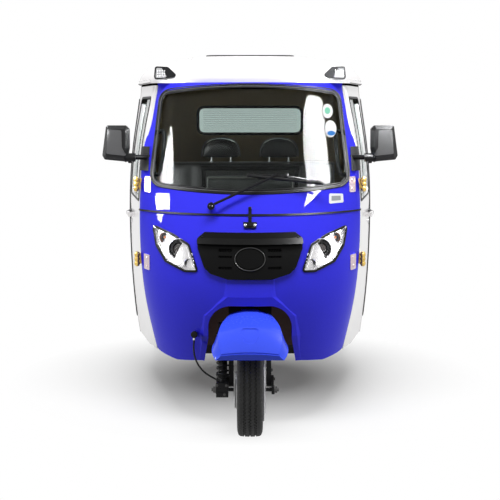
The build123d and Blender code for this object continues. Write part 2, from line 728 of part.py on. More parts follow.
def cabin_pieces(inner):
    """Floor, seats, partition and dashboard."""
    pieces = {}
    top = floor_z + floor_thickness
    floor_profile = (
        (-682, floor_z), (riser_y + floor_thickness, floor_z), (riser_y + floor_thickness, deck_z - floor_thickness),
        (1290, deck_z - floor_thickness), (1290, deck_z), (riser_y, deck_z), (riser_y, top), (-682, top))
    floor = side_prism(floor_profile, -700, 700) & inner

    well_half = arch_half_width + 50
    sheet = floor_thickness
    toe_z = arch_top_z + 32
    toe_y = -880
    well_profile = ((-690, floor_z), (toe_y, toe_z), (-1300, toe_z), (-1300, toe_z + sheet),
                    (toe_y + 4, toe_z + sheet), (-690 + sheet * 1.2, floor_z))
    toe = side_prism(well_profile, -600, 600)
    cheek_profile = ((-690, floor_z), (toe_y, toe_z + 2), (-1300, toe_z + 2), (-1300, floor_z))
    cheek = side_prism(cheek_profile, well_half, well_half + sheet)
    toe = toe + cheek + mirror(cheek, Plane.YZ)
    toe &= inner
    tube_plane = steering_plane(head_tube_start)
    tube = extrude(tube_plane * Circle(stem_radius + running_clearance + head_tube_wall), head_tube_length)
    bore = extrude(steering_plane(head_tube_start - 100) * Circle(stem_radius + running_clearance),
                   head_tube_length + 200)
    gusset = side_prism(((toe_y + 10, toe_z + 2), (-760, toe_z - 150), (-860, toe_z + 120)), -4, 4)
    pieces["toe_board"] = toe + tube + gusset - bore
    pieces["floor_pan"] = floor - toe

    dash_profile = ((-1040, 800), (-1040, 960), (-900, 1030), (-800, 1020), (-800, 985), (-880, 960), (-960, 800))
    dash = side_prism(dash_profile, -470, 470, 12) & inner
    dash -= extrude(steering_plane(head_tube_start + head_tube_length - 40) * Circle(stem_radius + 40), 400)
    dash -= both_sides(lamp_prism(moving_gap)) - body_loft(lamp_depth + moving_gap)
    pieces["dashboard"] = dash

    back_y = driver_seat_front_y + driver_seat_depth
    base_top = driver_seat_top_z - seat_cushion_thickness
    base = block(-driver_seat_half_width + 20, driver_seat_half_width - 20, driver_seat_front_y + 30,
                 back_y + 20, top, base_top)
    base -= block(-driver_seat_half_width + 40, driver_seat_half_width - 40, driver_seat_front_y + 50,
                  back_y, top - 1, base_top - 16)
    post_x = driver_seat_half_width + 24
    bar = None
    for start, end in (((-post_x, back_y + 40, top - 5), (-post_x, back_y + 60, 1120)),
                       ((post_x, back_y + 40, top - 5), (post_x, back_y + 60, 1120))):
        piece = rod(start, end, 14)
        bar = piece if bar is None else bar + piece
    bar += rod((-post_x - 14, back_y + 60, 1120), (post_x + 14, back_y + 60, 1120), 14)
    bar += rod((-post_x, back_y + 48, 620), (post_x, back_y + 48, 620), 14)
    bar &= block(-400, 400, 0, 500, top, 1300)
    pieces["driver_seat_base"] = base
    pieces["partition_frame"] = bar
    cushion = block(-driver_seat_half_width, driver_seat_half_width, driver_seat_front_y, back_y,
                    base_top, driver_seat_top_z)
    pieces["driver_cushion"] = fillet(cushion.edges().group_by(Axis.Z)[-1], 28)
    back = side_prism(((back_y - 52, driver_seat_top_z + 25), (back_y + 28, driver_seat_top_z + 25),
                       (back_y + 40, 1080), (back_y - 34, 1080)), -driver_seat_half_width,
                      driver_seat_half_width, 24)
    pieces["driver_backrest"] = back

    bench_back_y = bench_front_y + bench_depth
    bench = block(-bench_half_width, bench_half_width, bench_front_y, bench_back_y,
                  deck_z, bench_top_z)
    pieces["bench_cushion"] = fillet(bench.edges().group_by(Axis.Z)[-1], 34)
    rest = side_prism(((bench_back_y - 10, bench_top_z + 4), (bench_back_y + bench_back_thickness - 10, bench_top_z + 4),
                       (bench_back_y + bench_back_thickness + 50, bench_top_z + bench_back_height),
                       (bench_back_y + 56, bench_top_z + bench_back_height)), -bench_half_width,
                      bench_half_width, 22)
    pieces["bench_backrest"] = rest
    low_y = bench_back_y + bench_back_thickness - 10
    high_y = bench_back_y + bench_back_thickness + 50
    rest_top = bench_top_z + bench_back_height
    panel = side_prism(((low_y, deck_z), (low_y + 12, deck_z), (low_y + 12, bench_top_z + 4),
                        (high_y + 12, rest_top), (high_y, rest_top), (low_y, bench_top_z + 4)),
                       -bench_half_width, bench_half_width)
    pieces["bench_panel"] = panel
    rests = None
    rest_z = bench_top_z + bench_back_height
    for x in (-headrest_x, headrest_x):
        pad = front_prism(((x - headrest_width / 2, rest_z + 30), (x + headrest_width / 2, rest_z + 30),
                           (x + headrest_width / 2, rest_z + 30 + headrest_height),
                           (x - headrest_width / 2, rest_z + 30 + headrest_height)),
                          bench_back_y + 74, bench_back_y + 130, 45)
        for offset in (-60, 60):
            pad += rod((x + offset, bench_back_y + 100, rest_z), (x + offset, bench_back_y + 100, rest_z + 50), 6)
        rests = pad if rests is None else rests + pad
    pieces["headrests"] = rests
    return pieces


def running_gear(inner):
    """Frame, steering, wheels, suspension and engine."""
    pieces = {}
    rail_low = floor_z - rail_height
    member_low = floor_z - crossmember_height
    rails = None
    for x0 in (-rail_outer_x, rail_outer_x - rail_width):
        rail = block(x0, x0 + rail_width, rail_front_y, rail_rear_y, rail_low, floor_z)
        rails = rail if rails is None else rails + rail
    pieces["chassis_rails"] = rails
    members = None
    for y0, half in CROSSMEMBERS:
        bar = block(-half, half, y0, y0 + crossmember_width, member_low, floor_z) & inner
        members = bar if members is None else members + bar
    last_y = CROSSMEMBERS[-1][0]
    eye = side_prism(((last_y + 4, tow_eye_z - tow_eye_half_size), (last_y + 4, floor_z - 4),
                      (last_y + crossmember_width, floor_z - 4), (tow_eye_y + tow_eye_half_size, tow_eye_z + 8),
                      (tow_eye_y + tow_eye_half_size, tow_eye_z - tow_eye_half_size)),
                     -tow_eye_thickness / 2, tow_eye_thickness / 2, 8)
    eye -= rod((-tow_eye_thickness, tow_eye_y, tow_eye_z), (tow_eye_thickness, tow_eye_y, tow_eye_z),
               tow_eye_bore_radius)
    pieces["crossmembers"] = members - rails + eye
    posts = block(rail_outer_x - rail_width, rail_outer_x, deck_post_y, deck_post_y + rail_width,
                  floor_z, deck_z - floor_thickness)
    pieces["deck_posts"] = both_sides(posts)

    # steering: stem, crown and two legs, all one weldment
    stem_start = head_tube_start - crown_drop - crown_height
    stem = extrude(steering_plane(stem_start) * Circle(stem_radius), handlebar_station - stem_start)
    crown_width = 2 * (fork_inner_x + fork_plate + 1)
    crown = extrude(steering_plane(stem_start) * Rectangle(crown_width, crown_depth), crown_height)
    crown = fillet(crown.edges().filter_by(Axis.X), crown_height / 6)
    crown_mid = on_steering_axis(stem_start + crown_height / 2)
    leg = side_prism(((crown_mid[1] - 26, crown_mid[2] + 8), (crown_mid[1] + 26, crown_mid[2] - 14),
                      (crown_mid[1] - 10, axle_z - 11), (crown_mid[1] - 58, axle_z - 11)),
                     fork_inner_x, fork_inner_x + fork_plate, 10)
    pieces["fork"] = stem + crown + both_sides(leg)
    pieces["front_link"] = front_link()

    pieces["mudguard"] = mudguard() - crown
    pieces["handlebar"] = handlebar() - stem
    pieces["brake_hose"] = brake_hose()

    pieces["front_tyre"] = at_front_axle(tyre())
    pieces["front_rim"] = at_front_axle(rim(front_axle_radius, -6, 60))
    for side, name in ((1, "left"), (-1, "right")):
        pieces["rear_tyre_" + name] = at_rear_axle(tyre(), side)
        pieces["rear_rim_" + name] = at_rear_axle(rim(rear_axle_radius, 12, 44), side)

    arms = None
    for side in (1, -1):
        arm = side_prism(((585, 232), (585, 292), (840, 232), (860, 192), (800, 180)), 395, 440, 12)
        stub = rod((395, rear_axle_y, axle_z), (rear_track_half + 56, rear_axle_y, axle_z), rear_axle_radius)
        pivot = rod((335, 600, 262), (445, 600, 262), 20)
        spring = rod((417, 800, 230), (417, 830, deck_z - floor_thickness), 34)
        half_shaft = rod((215, rear_axle_y, axle_z + 40), (397, rear_axle_y, axle_z), 13)
        bracket = block(330, 345, 570, 630, 235, 300)
        arm = arm + stub + pivot + spring + half_shaft + bracket
        arm = on_side(arm, side)
        arms = arm if arms is None else arms + arm
    pieces["rear_suspension"] = arms & block(-700, 700, 400, 1200, 0, deck_z - floor_thickness)
    engine = block(-215, 215, 760, 1190, floor_z - 20, 560)
    engine = fillet(engine.edges().filter_by(Axis.Y), 30)
    engine += block(-278, -200, 980, 1060, floor_z, floor_z + 40) + block(200, 278, 980, 1060, floor_z, floor_z + 40)
    pieces["engine_block"] = engine
    return pieces


# y, half width, crown height, edge height of the mudguard
MUDGUARD_SECTIONS = (
    (-1366.0, 140.0, 426.0, 398.0),
    (-1290.0, 160.0, 492.0, 424.0),
    (-1170.0, 142.0, 540.0, 452.0),
    (-1040.0, 106.0, 551.0, 480.0),
)
mudguard_thickness = 6.0
mudguard_lip = 4.0
mudguard_lip_rise = 10.0
# x, z down one side of the dent in the mudguard's front
MUDGUARD_DENT = ((38.0, 508.0), (36.0, 478.0), (20.0, 456.0))
dent_corner_radius = 12.0
dent_depth = 2.2


def mudguard_section(row):
    """Closed section across the mudguard: flat below, arched above."""
    y, half, crown, edge = row
    plane = Plane(origin=(0, y, 0), x_dir=(1, 0, 0), z_dir=(0, -1, 0))
    shoulder = edge + (crown - edge) * 0.72
    face = make_face([
        Line((-half, edge), (half, edge)),
        Line((half, edge), (half * 0.86, shoulder)),
        ThreePointArc((half * 0.86, shoulder), (0, crown), (-half * 0.86, shoulder)),
        Line((-half * 0.86, shoulder), (-half, edge)),
    ])
    return plane * face


def mudguard():
    """Shallow cap over the front wheel, open below and behind."""
    t = mudguard_thickness
    outer = loft([mudguard_section(row) for row in MUDGUARD_SECTIONS])
    under = []
    for index, (y, half, crown, edge) in enumerate(MUDGUARD_SECTIONS):
        if index == 0:
            y += t
        if index == len(MUDGUARD_SECTIONS) - 1:
            y += t
        under.append((y, half - t, crown - t, edge - 2 * t))
    hollow = loft([mudguard_section(row) for row in under])
    lip = loft([mudguard_section((y - mudguard_lip, half + mudguard_lip, edge + 2 * mudguard_lip_rise, edge - t))
                for y, half, crown, edge in MUDGUARD_SECTIONS])
    dent = front_prism(mirrored_outline(MUDGUARD_DENT), -1400, -1150, dent_corner_radius)
    dent &= Pos(0, 0, 0) * outer - Pos(0, dent_depth, -dent_depth) * outer
    cap = (outer - dent) + lip - hollow
    y, half, crown, edge = MUDGUARD_SECTIONS[-1]
    stay = side_prism(((y - 30, crown - 8), (y - 30, crown - 2), (y + 60, crown - 2), (y + 60, crown - 8)), -40, 40)
    return cap + stay


def front_link():
    """Trailing links from the fork to the axle, the brake's backing plate and the damper."""
    arm_x = fork_inner_x + fork_plate
    pivot_y = -985.0
    link = side_prism(((front_axle_y - 20, axle_z - 20), (front_axle_y - 20, axle_z + 20),
                       (pivot_y - 15, axle_z + 38), (pivot_y + 7, axle_z - 2)), arm_x, arm_x + link_thickness, 10)
    plate_x = arm_x + brake_link_width
    brake_link = side_prism(((front_axle_y - 40, axle_z - 29), (front_axle_y - 40, axle_z + 33),
                             (pivot_y - 15, axle_z + 43), (pivot_y + 10, axle_z - 9)), arm_x, plate_x, 10)
    axle = rod((-plate_x - 1, front_axle_y, axle_z), (arm_x + 22, front_axle_y, axle_z), front_axle_radius)
    damper_x = arm_x + damper_radius + 6
    damper = rod((-damper_x, front_axle_y + 30, axle_z + 25), (-damper_x, damper_top_y, damper_top_z), damper_radius)
    collar = rod((-damper_x, front_axle_y + 38, axle_z + 44), (-damper_x, front_axle_y + 44, axle_z + 60),
                 damper_radius + 5)
    top_mount = block(-damper_x - 22, -arm_x - 0.5, damper_top_y - 22, damper_top_y + 18,
                      damper_top_z - 22, damper_top_z + 18)
    piece = link + mirror(brake_link, Plane.YZ) + axle + damper + collar + top_mount
    end, before = HOSE_ROUTE[-1], HOSE_ROUTE[-2]
    along = (Vector(*end) - Vector(*before)).normalized()
    return piece + rod(end, Vector(*end) + along * hose_fitting_length, hose_radius + 3)


def hose_grommet():
    """Boss in the nose with a socket that the brake hose comes down out of."""
    start, after = HOSE_ROUTE[0], HOSE_ROUTE[1]
    along = (Vector(*start) - Vector(*after)).normalized()
    socket = rod(start, Vector(*start) + along * hose_fitting_length, hose_radius + 4)
    boss_y = nose_y(start[0], start[2]) + wall / 2
    boss = rod((start[0], boss_y, start[2] + hose_fitting_length),
               (start[0], start[1] - hose_radius, start[2] + hose_fitting_length), hose_radius + 8)
    return socket + boss


def brake_hose():
    """Hose from the boss in the nose down to the brake, with arcs as wide as its runs allow."""
    points = [Vector(*point) for point in HOSE_ROUTE]
    radii = []
    for before, here, after in zip(points, points[1:], points[2:]):
        first, second = here - before, after - here
        shorter = min(first.length, second.length)
        half_turn = math.radians(first.get_angle(second)) / 2
        radii.append(hose_arc_share * shorter / math.tan(half_turn))
    print("brake hose radii", [round(radius) for radius in radii])
    path = FilletPolyline(*points, radius=radii)
    plane = Plane(origin=path @ 0, z_dir=path % 0)
    return sweep(plane * Circle(hose_radius), path=path)


def handlebar():
    """Bar clamped on the stem and swept back to a grip at each hand."""
    plane = steering_plane(handlebar_station - handlebar_radius)
    grip_start = handlebar_half_width - grip_length
    local = ((-handlebar_half_width, handlebar_setback), (-grip_start, handlebar_setback),
             (-handlebar_clamp_half, 0.0), (handlebar_clamp_half, 0.0),
             (grip_start, handlebar_setback), (handlebar_half_width, handlebar_setback))
    points = [plane.from_local_coords(Vector(x, back, 0)) for x, back in local]
    path = FilletPolyline(*points, radius=handlebar_bend_radius)
    bar = sweep(Plane(origin=path @ 0, z_dir=path % 0) * Circle(handlebar_radius), path=path)
    clamp_rise = handlebar_radius + clamp_wall
    clamp = extrude(steering_plane(handlebar_station - handlebar_radius - clamp_rise) *
                    RectangleRounded(2 * handlebar_clamp_half, 2 * clamp_rise + 30, clamp_rise), 2 * clamp_rise)
    bar += clamp
    for end, inner in ((0, 1), (5, 4)):
        bar += rod(points[end], points[inner], grip_radius)
    return bar


def outside_fittings(outer, roof_outer):
    """Mirrors, lamps, latch, wiper, bumper, exhaust and mudflaps."""
    pieces = {}
    pieces["mirror_cases"] = both_sides(mirror_case())
    glass = offset(rounded(MIRROR_OUTLINE, mirror_corner_radius), -mirror_glass_border)
    plane = Plane(origin=(0, mirror_rear_y + mirror_glass_thickness, 0), x_dir=(1, 0, 0), z_dir=(0, -1, 0))
    pieces["mirror_glasses"] = both_sides(extrude(plane * glass, mirror_glass_thickness))

    lamp = body_marker() - roof_outer
    pieces["marker_lamps"] = both_sides(lamp)

    base = front_prism(mirrored_outline(LATCH_BASE), -1100, -900, 4)
    strap = front_prism(mirrored_outline(LATCH_STRAP), -1100, -880, 4)
    pieces["bonnet_latch"] = (skin(-latch_base_proud, -seal_gap, base) +
                              skin(-latch_strap_proud, -seal_proud - seal_gap, strap))

    wiper = rod((-176, -880, 1010), (-176, -960, 1010), 14)
    wiper += rod((-176, -950, 1012), (124, -884, 1150), 6)
    wiper += rod((-14, -905, 1146), (336, -850, 1106), 7)
    pieces["wiper"] = wiper - body_loft(-seal_gap)

    bumper_y = bumper_rear_y - bumper_radius
    bumper = rod((-bumper_half_width, bumper_y, bumper_z), (bumper_half_width, bumper_y, bumper_z), bumper_radius)
    for side in (-1, 1):
        x = side * (rail_outer_x - rail_width / 2)
        bumper += block(x - 20, x + 20, rail_rear_y, bumper_y, floor_z - 50, floor_z - 2)
    pieces["rear_bumper"] = bumper
    lamp = front_prism(((470, 600), (560, 600), (560, 760), (470, 760)), 1270, 1326, 14)
    pieces["tail_lamps"] = both_sides(lamp - outer)
    pipe = rod((160, 1040, 212), (160, 1230, 212), 44)
    pipe += rod((160, 1229, 200), (160, 1345, 200), 16)
    pipe += block(150, 170, 1090, 1120, 240, floor_z - 20)
    pieces["exhaust"] = pipe
    flap = block(470, 576, 1092, 1098, 150, 420)
    pieces["mudflaps"] = both_sides(flap)
    return pieces


def mirror_case():
    """Mirror housing of the +X side with a bevelled back, its arm and its foot on the pillar."""
    outline = rounded(MIRROR_OUTLINE, mirror_corner_radius)
    back_y = mirror_front_y + mirror_bevel_depth
    facing = {"x_dir": (1, 0, 0), "z_dir": (0, -1, 0)}
    case = extrude(Plane(origin=(0, mirror_rear_y, 0), **facing) * outline, mirror_rear_y - back_y)
    case += extrude(Plane(origin=(0, back_y, 0), **facing) * outline, mirror_bevel_depth, taper=mirror_bevel_deg)
    middle_y = mirror_rear_y - mirror_knuckle_radius - mirror_knuckle_margin
    inner_x = min(x for x, z in MIRROR_OUTLINE)
    foot_y = pillar_at(mirror_arm_z) - mirror_foot_width
    arm = rod((inner_x + mirror_knuckle_length, middle_y, mirror_arm_z),
              (inner_x - mirror_knuckle_length, middle_y, mirror_arm_z), mirror_knuckle_radius)
    arm += rod((inner_x - mirror_knuckle_length / 2, middle_y, mirror_arm_z),
               (row_at(mirror_arm_z)[1] - mirror_foot_width, foot_y, mirror_arm_z), mirror_arm_radius)
    foot_zone = block(row_at(mirror_arm_z)[1] - mirror_foot_width, 700, -700, -500,
                      mirror_foot_low_z, mirror_foot_high_z)
    foot_zone &= ahead_of_pillar(-door_gap, mirror_foot_low_z, mirror_foot_high_z)
    foot = skin(-mirror_foot_proud, 0.0, foot_zone)
    return case + foot + (arm - body_loft(0.0))


def body_marker():
    """Corner marker lamp on the +X side of the roof's front edge."""
    return front_prism(MARKER_OUTLINE, marker_front_y, marker_rear_y, marker_corner_radius)


if __name__ == "__main__":
    os.makedirs("parts", exist_ok=True)
    for name, piece in build().items():
        export_step(piece, os.path.join("parts", name + ".step"))
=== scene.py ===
"""Looks of a three wheeled auto rickshaw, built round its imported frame."""

import logging
import math
from dataclasses import dataclass, replace
from enum import Enum
from typing import Callable, Optional, Sequence

import bmesh
import bpy
from mathutils import Matrix, Vector
from mathutils.bvhtree import BVHTree
from mathutils.interpolate import poly_3d_calc


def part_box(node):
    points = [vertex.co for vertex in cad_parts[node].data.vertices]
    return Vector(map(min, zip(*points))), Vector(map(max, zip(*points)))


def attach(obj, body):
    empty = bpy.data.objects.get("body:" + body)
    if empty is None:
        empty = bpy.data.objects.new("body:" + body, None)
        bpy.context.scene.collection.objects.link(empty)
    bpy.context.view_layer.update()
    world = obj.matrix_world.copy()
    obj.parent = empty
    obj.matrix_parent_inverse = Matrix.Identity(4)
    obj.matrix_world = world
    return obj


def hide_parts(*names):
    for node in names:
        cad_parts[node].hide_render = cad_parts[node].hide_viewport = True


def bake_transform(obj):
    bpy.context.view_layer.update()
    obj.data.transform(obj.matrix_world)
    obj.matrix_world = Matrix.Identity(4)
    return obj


LOG = logging.getLogger("rickshaw")
Colour = tuple[float, float, float]
Point = tuple[float, float, float]
Flat = tuple[float, float]
Loop = Sequence[Flat]
Spot = tuple[Vector, Vector]
Tree = bpy.types.NodeTree
Socket = bpy.types.NodeSocket
Build = bmesh.types.BMesh

AHEAD, BACK = Vector((0.0, -1.0, 0.0)), Vector((0.0, 1.0, 0.0))
UP, DOWN = Vector((0.0, 0.0, 1.0)), Vector((0.0, 0.0, -1.0))

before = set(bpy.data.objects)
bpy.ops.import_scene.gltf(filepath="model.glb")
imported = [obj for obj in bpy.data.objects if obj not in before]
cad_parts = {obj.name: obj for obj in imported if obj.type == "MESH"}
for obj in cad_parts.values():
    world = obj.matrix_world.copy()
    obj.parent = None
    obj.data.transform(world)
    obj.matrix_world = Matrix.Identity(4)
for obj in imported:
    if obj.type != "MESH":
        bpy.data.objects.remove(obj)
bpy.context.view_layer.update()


class Side(Enum):
    """Which side of the centre plane a paired piece is on."""

    LEFT = 1
    RIGHT = -1

    @property
    def word(self) -> str:
        """The side's word in the names of pieces."""
        return self.name.lower()

    @property
    def out(self) -> Vector:
        """Direction that looks out on this side."""
        return Vector((self.value, 0.0, 0.0))

    def at(self, x: float, y: float, z: float) -> Vector:
        """Place on the left side, or its mirror image on the right."""
        return Vector((self.value * x, y, z))


# ---------------------------------------------------------------- shader groups


def new_group(name: str, inputs: dict[str, object],
              outputs: dict[str, str]) -> tuple[Tree, bpy.types.Node, bpy.types.Node]:
    """Make a shader group with named sockets.

    Args:
        name: the group's name.
        inputs: each input's name and default: a number, a vector, or a colour with its alpha.
        outputs: each output's name and kind: Float, Color or Vector.

    Returns:
        The group, its input node and its output node.
    """
    tree = bpy.data.node_groups.new(name, "ShaderNodeTree")
    for label, value in inputs.items():
        kind = "Float" if isinstance(value, float) else {3: "Vector", 4: "Color"}[len(value)]
        socket = tree.interface.new_socket(name=label, in_out="INPUT", socket_type="NodeSocket" + kind)
        socket.default_value = value
    for label, kind in outputs.items():
        tree.interface.new_socket(name=label, in_out="OUTPUT", socket_type="NodeSocket" + kind)
    return tree, tree.nodes.new("NodeGroupInput"), tree.nodes.new("NodeGroupOutput")


def object_place(tree: Tree) -> Socket:
    """Socket with the object's own coordinates."""
    return tree.nodes.new("ShaderNodeTexCoord").outputs["Object"]


def vector_node(tree: Tree, kind: str, *links: Socket) -> bpy.types.Node:
    """Place a Vector Math node.

    Args:
        tree: the tree to place it in.
        kind: the operation.
        links: sockets for its first inputs.

    Returns:
        The node.
    """
    node = tree.nodes.new("ShaderNodeVectorMath")
    node.operation = kind
    for index, socket in enumerate(links):
        tree.links.new(socket, node.inputs[index])
    return node


def math_node(tree: Tree, kind: str, a: object, b: object = 0.5) -> Socket:
    """Place a Math node.

    Args:
        tree: the tree to place it in.
        kind: the operation.
        a: a socket or number.
        b: a socket or number.

    Returns:
        The node's result socket.
    """
    node = tree.nodes.new("ShaderNodeMath")
    node.operation = kind
    for index, value in enumerate((a, b)):
        if isinstance(value, Socket):
            tree.links.new(value, node.inputs[index])
        else:
            node.inputs[index].default_value = value
    return node.outputs[0]


def mix_colour(tree: Tree, factor: object, a: object, b: object) -> Socket:
    """Place a colour Mix node.

    Args:
        tree: the tree to place it in.
        factor: a socket or number.
        a: the colour at 0, a socket or a tuple.
        b: the colour at 1, a socket or a tuple.

    Returns:
        The mixed colour's socket.
    """
    node = tree.nodes.new("ShaderNodeMix")
    node.data_type = "RGBA"
    for index, value in ((0, factor), (6, a), (7, b)):
        if isinstance(value, Socket):
            tree.links.new(value, node.inputs[index])
        elif index:
            node.inputs[index].default_value = (*value, 1.0)
        else:
            node.inputs[index].default_value = value
    return node.outputs[2]


def remap(tree: Tree, value: Socket, low: float, high: float,
          to_low: float = 0.0, to_high: float = 1.0) -> Socket:
    """Place a Map Range node.

    Args:
        tree: the tree to place it in.
        value: the socket to remap.
        low: input value that gives to_low.
        high: input value that gives to_high.
        to_low: result at low.
        to_high: result at high.

    Returns:
        The result socket.
    """
    node = tree.nodes.new("ShaderNodeMapRange")
    tree.links.new(value, node.inputs[0])
    for index, number in enumerate((low, high, to_low, to_high)):
        node.inputs[index + 1].default_value = number
    return node.outputs[0]


def noise(tree: Tree, vector: Socket, scale: float, detail: float = 3.0,
          roughness: float = 0.55) -> Socket:
    """Place a Noise texture.

    Args:
        tree: the tree to place it in.
        vector: the coordinates.
        scale: cells per metre.
        detail: octaves.
        roughness: how strong the fine octaves are.

    Returns:
        The noise value's socket.
    """
    node = tree.nodes.new("ShaderNodeTexNoise")
    tree.links.new(vector, node.inputs["Vector"])
    node.inputs["Scale"].default_value = scale
    node.inputs["Detail"].default_value = detail
    node.inputs["Roughness"].default_value = roughness
    return node.outputs[0]


def group_mottle() -> Tree:
    """Colour and roughness that drift a little over a surface, at two sizes.

    Returns:
        The group: Colour, Depth, Scale, Rough and Rough drift in, Colour and Rough out.
    """
    tree, start, end = new_group(
        "mottle", {"Colour": MID_GREY, "Depth": 0.1, "Scale": 6.0, "Rough": 0.3, "Rough drift": 0.08},
        {"Colour": "Color", "Rough": "Float"})
    place = object_place(tree)
    broad = tree.nodes.new("ShaderNodeTexNoise")
    tree.links.new(place, broad.inputs["Vector"])
    tree.links.new(start.outputs["Scale"], broad.inputs["Scale"])
    fine = noise(tree, place, 90.0, 4.0)
    drift = math_node(tree, "SUBTRACT", math_node(tree, "ADD", broad.outputs[0], fine), 1.0)
    gain = math_node(tree, "ADD", math_node(tree, "MULTIPLY", drift, start.outputs["Depth"]), 1.0)
    scaled = vector_node(tree, "SCALE", start.outputs["Colour"])
    tree.links.new(gain, scaled.inputs["Scale"])
    tree.links.new(scaled.outputs[0], end.inputs["Colour"])
    rough = math_node(tree, "ADD", start.outputs["Rough"],
                      math_node(tree, "MULTIPLY", drift, start.outputs["Rough drift"]))
    tree.links.new(rough, end.inputs["Rough"])
    return tree


def group_grain() -> Tree:
    """Normal of a fine grained or pebbled surface.

    Returns:
        The group: Scale, Strength and Distance in, Normal out.
    """
    tree, start, end = new_group(
        "grain", {"Scale": 400.0, "Strength": 0.2, "Distance": 0.001}, {"Normal": "Vector"})
    cells = tree.nodes.new("ShaderNodeTexVoronoi")
    tree.links.new(object_place(tree), cells.inputs["Vector"])
    tree.links.new(start.outputs["Scale"], cells.inputs["Scale"])
    bump = tree.nodes.new("ShaderNodeBump")
    tree.links.new(cells.outputs["Distance"], bump.inputs["Height"])
    for name in ("Strength", "Distance"):
        tree.links.new(start.outputs[name], bump.inputs[name])
    tree.links.new(bump.outputs[0], end.inputs["Normal"])
    return tree


def group_dust() -> Tree:
    """Road dust that gathers low down.

    Returns:
        The group: Colour, Rough, Amount and Height in, Colour and Rough out.
    """
    tree, start, end = new_group(
        "dust", {"Colour": MID_GREY, "Rough": 0.3, "Amount": 0.3, "Height": 0.5},
        {"Colour": "Color", "Rough": "Float"})
    place = object_place(tree)
    split = tree.nodes.new("ShaderNodeSeparateXYZ")
    tree.links.new(place, split.inputs[0])
    height = math_node(tree, "DIVIDE", split.outputs[2], start.outputs["Height"])
    low = math_node(tree, "MAXIMUM", math_node(tree, "SUBTRACT", 1.0, height), 0.0)
    spots = remap(tree, noise(tree, place, 14.0, 5.0, 0.65), 0.35, 0.75)
    mask = math_node(tree, "MULTIPLY", math_node(tree, "MULTIPLY", low, spots), start.outputs["Amount"])
    tree.links.new(mix_colour(tree, mask, start.outputs["Colour"], ROAD_DUST), end.inputs["Colour"])
    rough = math_node(tree, "ADD", start.outputs["Rough"], math_node(tree, "MULTIPLY", mask, 0.5))
    tree.links.new(rough, end.inputs["Rough"])
    return tree


def group_inside() -> Tree:
    """Mask that is 1 on faces of a shell that look towards the cab's middle; finishes put their inside colour
    there, which for the blue, white and roof enamels is painted shade.

    Returns:
        The group: Middle in, Mask out.
    """
    tree, start, end = new_group("inside_faces", {"Middle": (0.0, 0.0, 0.9)}, {"Mask": "Float"})
    geometry = tree.nodes.new("ShaderNodeNewGeometry")
    away = vector_node(tree, "SUBTRACT", object_place(tree), start.outputs[0])
    dot = vector_node(tree, "DOT_PRODUCT", away.outputs[0], geometry.outputs["True Normal"])
    tree.links.new(math_node(tree, "LESS_THAN", dot.outputs["Value"], 0.0), end.inputs["Mask"])
    return tree


ROAD_DUST: Colour = (0.32, 0.28, 0.24)
MID_GREY = (0.5, 0.5, 0.5, 1.0)
MOTTLE = group_mottle()
GRAIN = group_grain()
DUST = group_dust()
INSIDE = group_inside()


# ---------------------------------------------------------------- finishes


@dataclass(frozen=True)
class Finish:
    """One procedural finish: mottled colour, dust and grain over a Principled BSDF, and an inside colour,
    near black where it is painted shade inside the cab.
    """

    name: str
    colour: Colour
    rough: float = 0.4
    metallic: float = 0.0
    depth: float = 0.1
    drift: float = 0.08
    scale: float = 6.0
    coat: float = 0.0
    coat_rough: float = 0.05
    grain: float = 0.0
    grain_scale: float = 400.0
    grain_depth: float = 0.0005
    dust: float = 0.0
    dust_height: float = 0.5
    specular: float = 0.5
    transmission: float = 0.0
    ior: float = 1.5
    # colour of faces towards the cab; where it is near black it is painted shade inside the cab
    inside: Optional[Colour] = None

    def material(self) -> bpy.types.Material:
        """Make the finish's material, or find it when it is made already.

        Returns:
            The material.
        """
        found = bpy.data.materials.get(self.name)
        if found:
            return found
        material = bpy.data.materials.new(self.name)
        material.use_nodes = True
        material.diffuse_color = (*self.colour, 1.0)
        tree = material.node_tree
        shader = tree.nodes["Principled BSDF"]
        mottle = self.place(tree, MOTTLE, {
            "Colour": (*self.colour, 1.0), "Depth": self.depth, "Scale": self.scale,
            "Rough": self.rough, "Rough drift": self.drift})
        colour, rough = mottle.outputs["Colour"], mottle.outputs["Rough"]
        if self.dust:
            dust = self.place(tree, DUST, {"Amount": self.dust, "Height": self.dust_height})
            tree.links.new(colour, dust.inputs["Colour"])
            tree.links.new(rough, dust.inputs["Rough"])
            colour, rough = dust.outputs["Colour"], dust.outputs["Rough"]
        # faces towards the cab take the inside colour with no coat or specular; a near black inside colour is
        # painted shade inside the cab
        if self.inside:
            mask = self.place(tree, INSIDE, {}).outputs["Mask"]
            colour = mix_colour(tree, mask, colour, self.inside)
            outside = math_node(tree, "SUBTRACT", 1.0, mask)
            for name, value in (("Coat Weight", self.coat), ("Specular IOR Level", self.specular)):
                tree.links.new(math_node(tree, "MULTIPLY", outside, value), shader.inputs[name])
        tree.links.new(colour, shader.inputs["Base Color"])
        tree.links.new(rough, shader.inputs["Roughness"])
        if self.grain:
            grain = self.place(tree, GRAIN, {
                "Scale": self.grain_scale, "Strength": self.grain, "Distance": self.grain_depth})
            tree.links.new(grain.outputs["Normal"], shader.inputs["Normal"])
        for name, value in (("Metallic", self.metallic), ("Coat Weight", self.coat), ("IOR", self.ior),
                            ("Coat Roughness", self.coat_rough), ("Specular IOR Level", self.specular),
                            ("Transmission Weight", self.transmission)):
            shader.inputs[name].default_value = value
        return material

    @staticmethod
    def place(tree: Tree, group: Tree, values: dict) -> bpy.types.Node:
        """Place a shared group in a material and set its values.

        Args:
            tree: the material's tree.
            group: the shared group.
            values: input name to value.

        Returns:
            The placed node.
        """
        node = tree.nodes.new("ShaderNodeGroup")
        node.node_tree = group
        for name, value in values.items():
            node.inputs[name].default_value = value
        return node
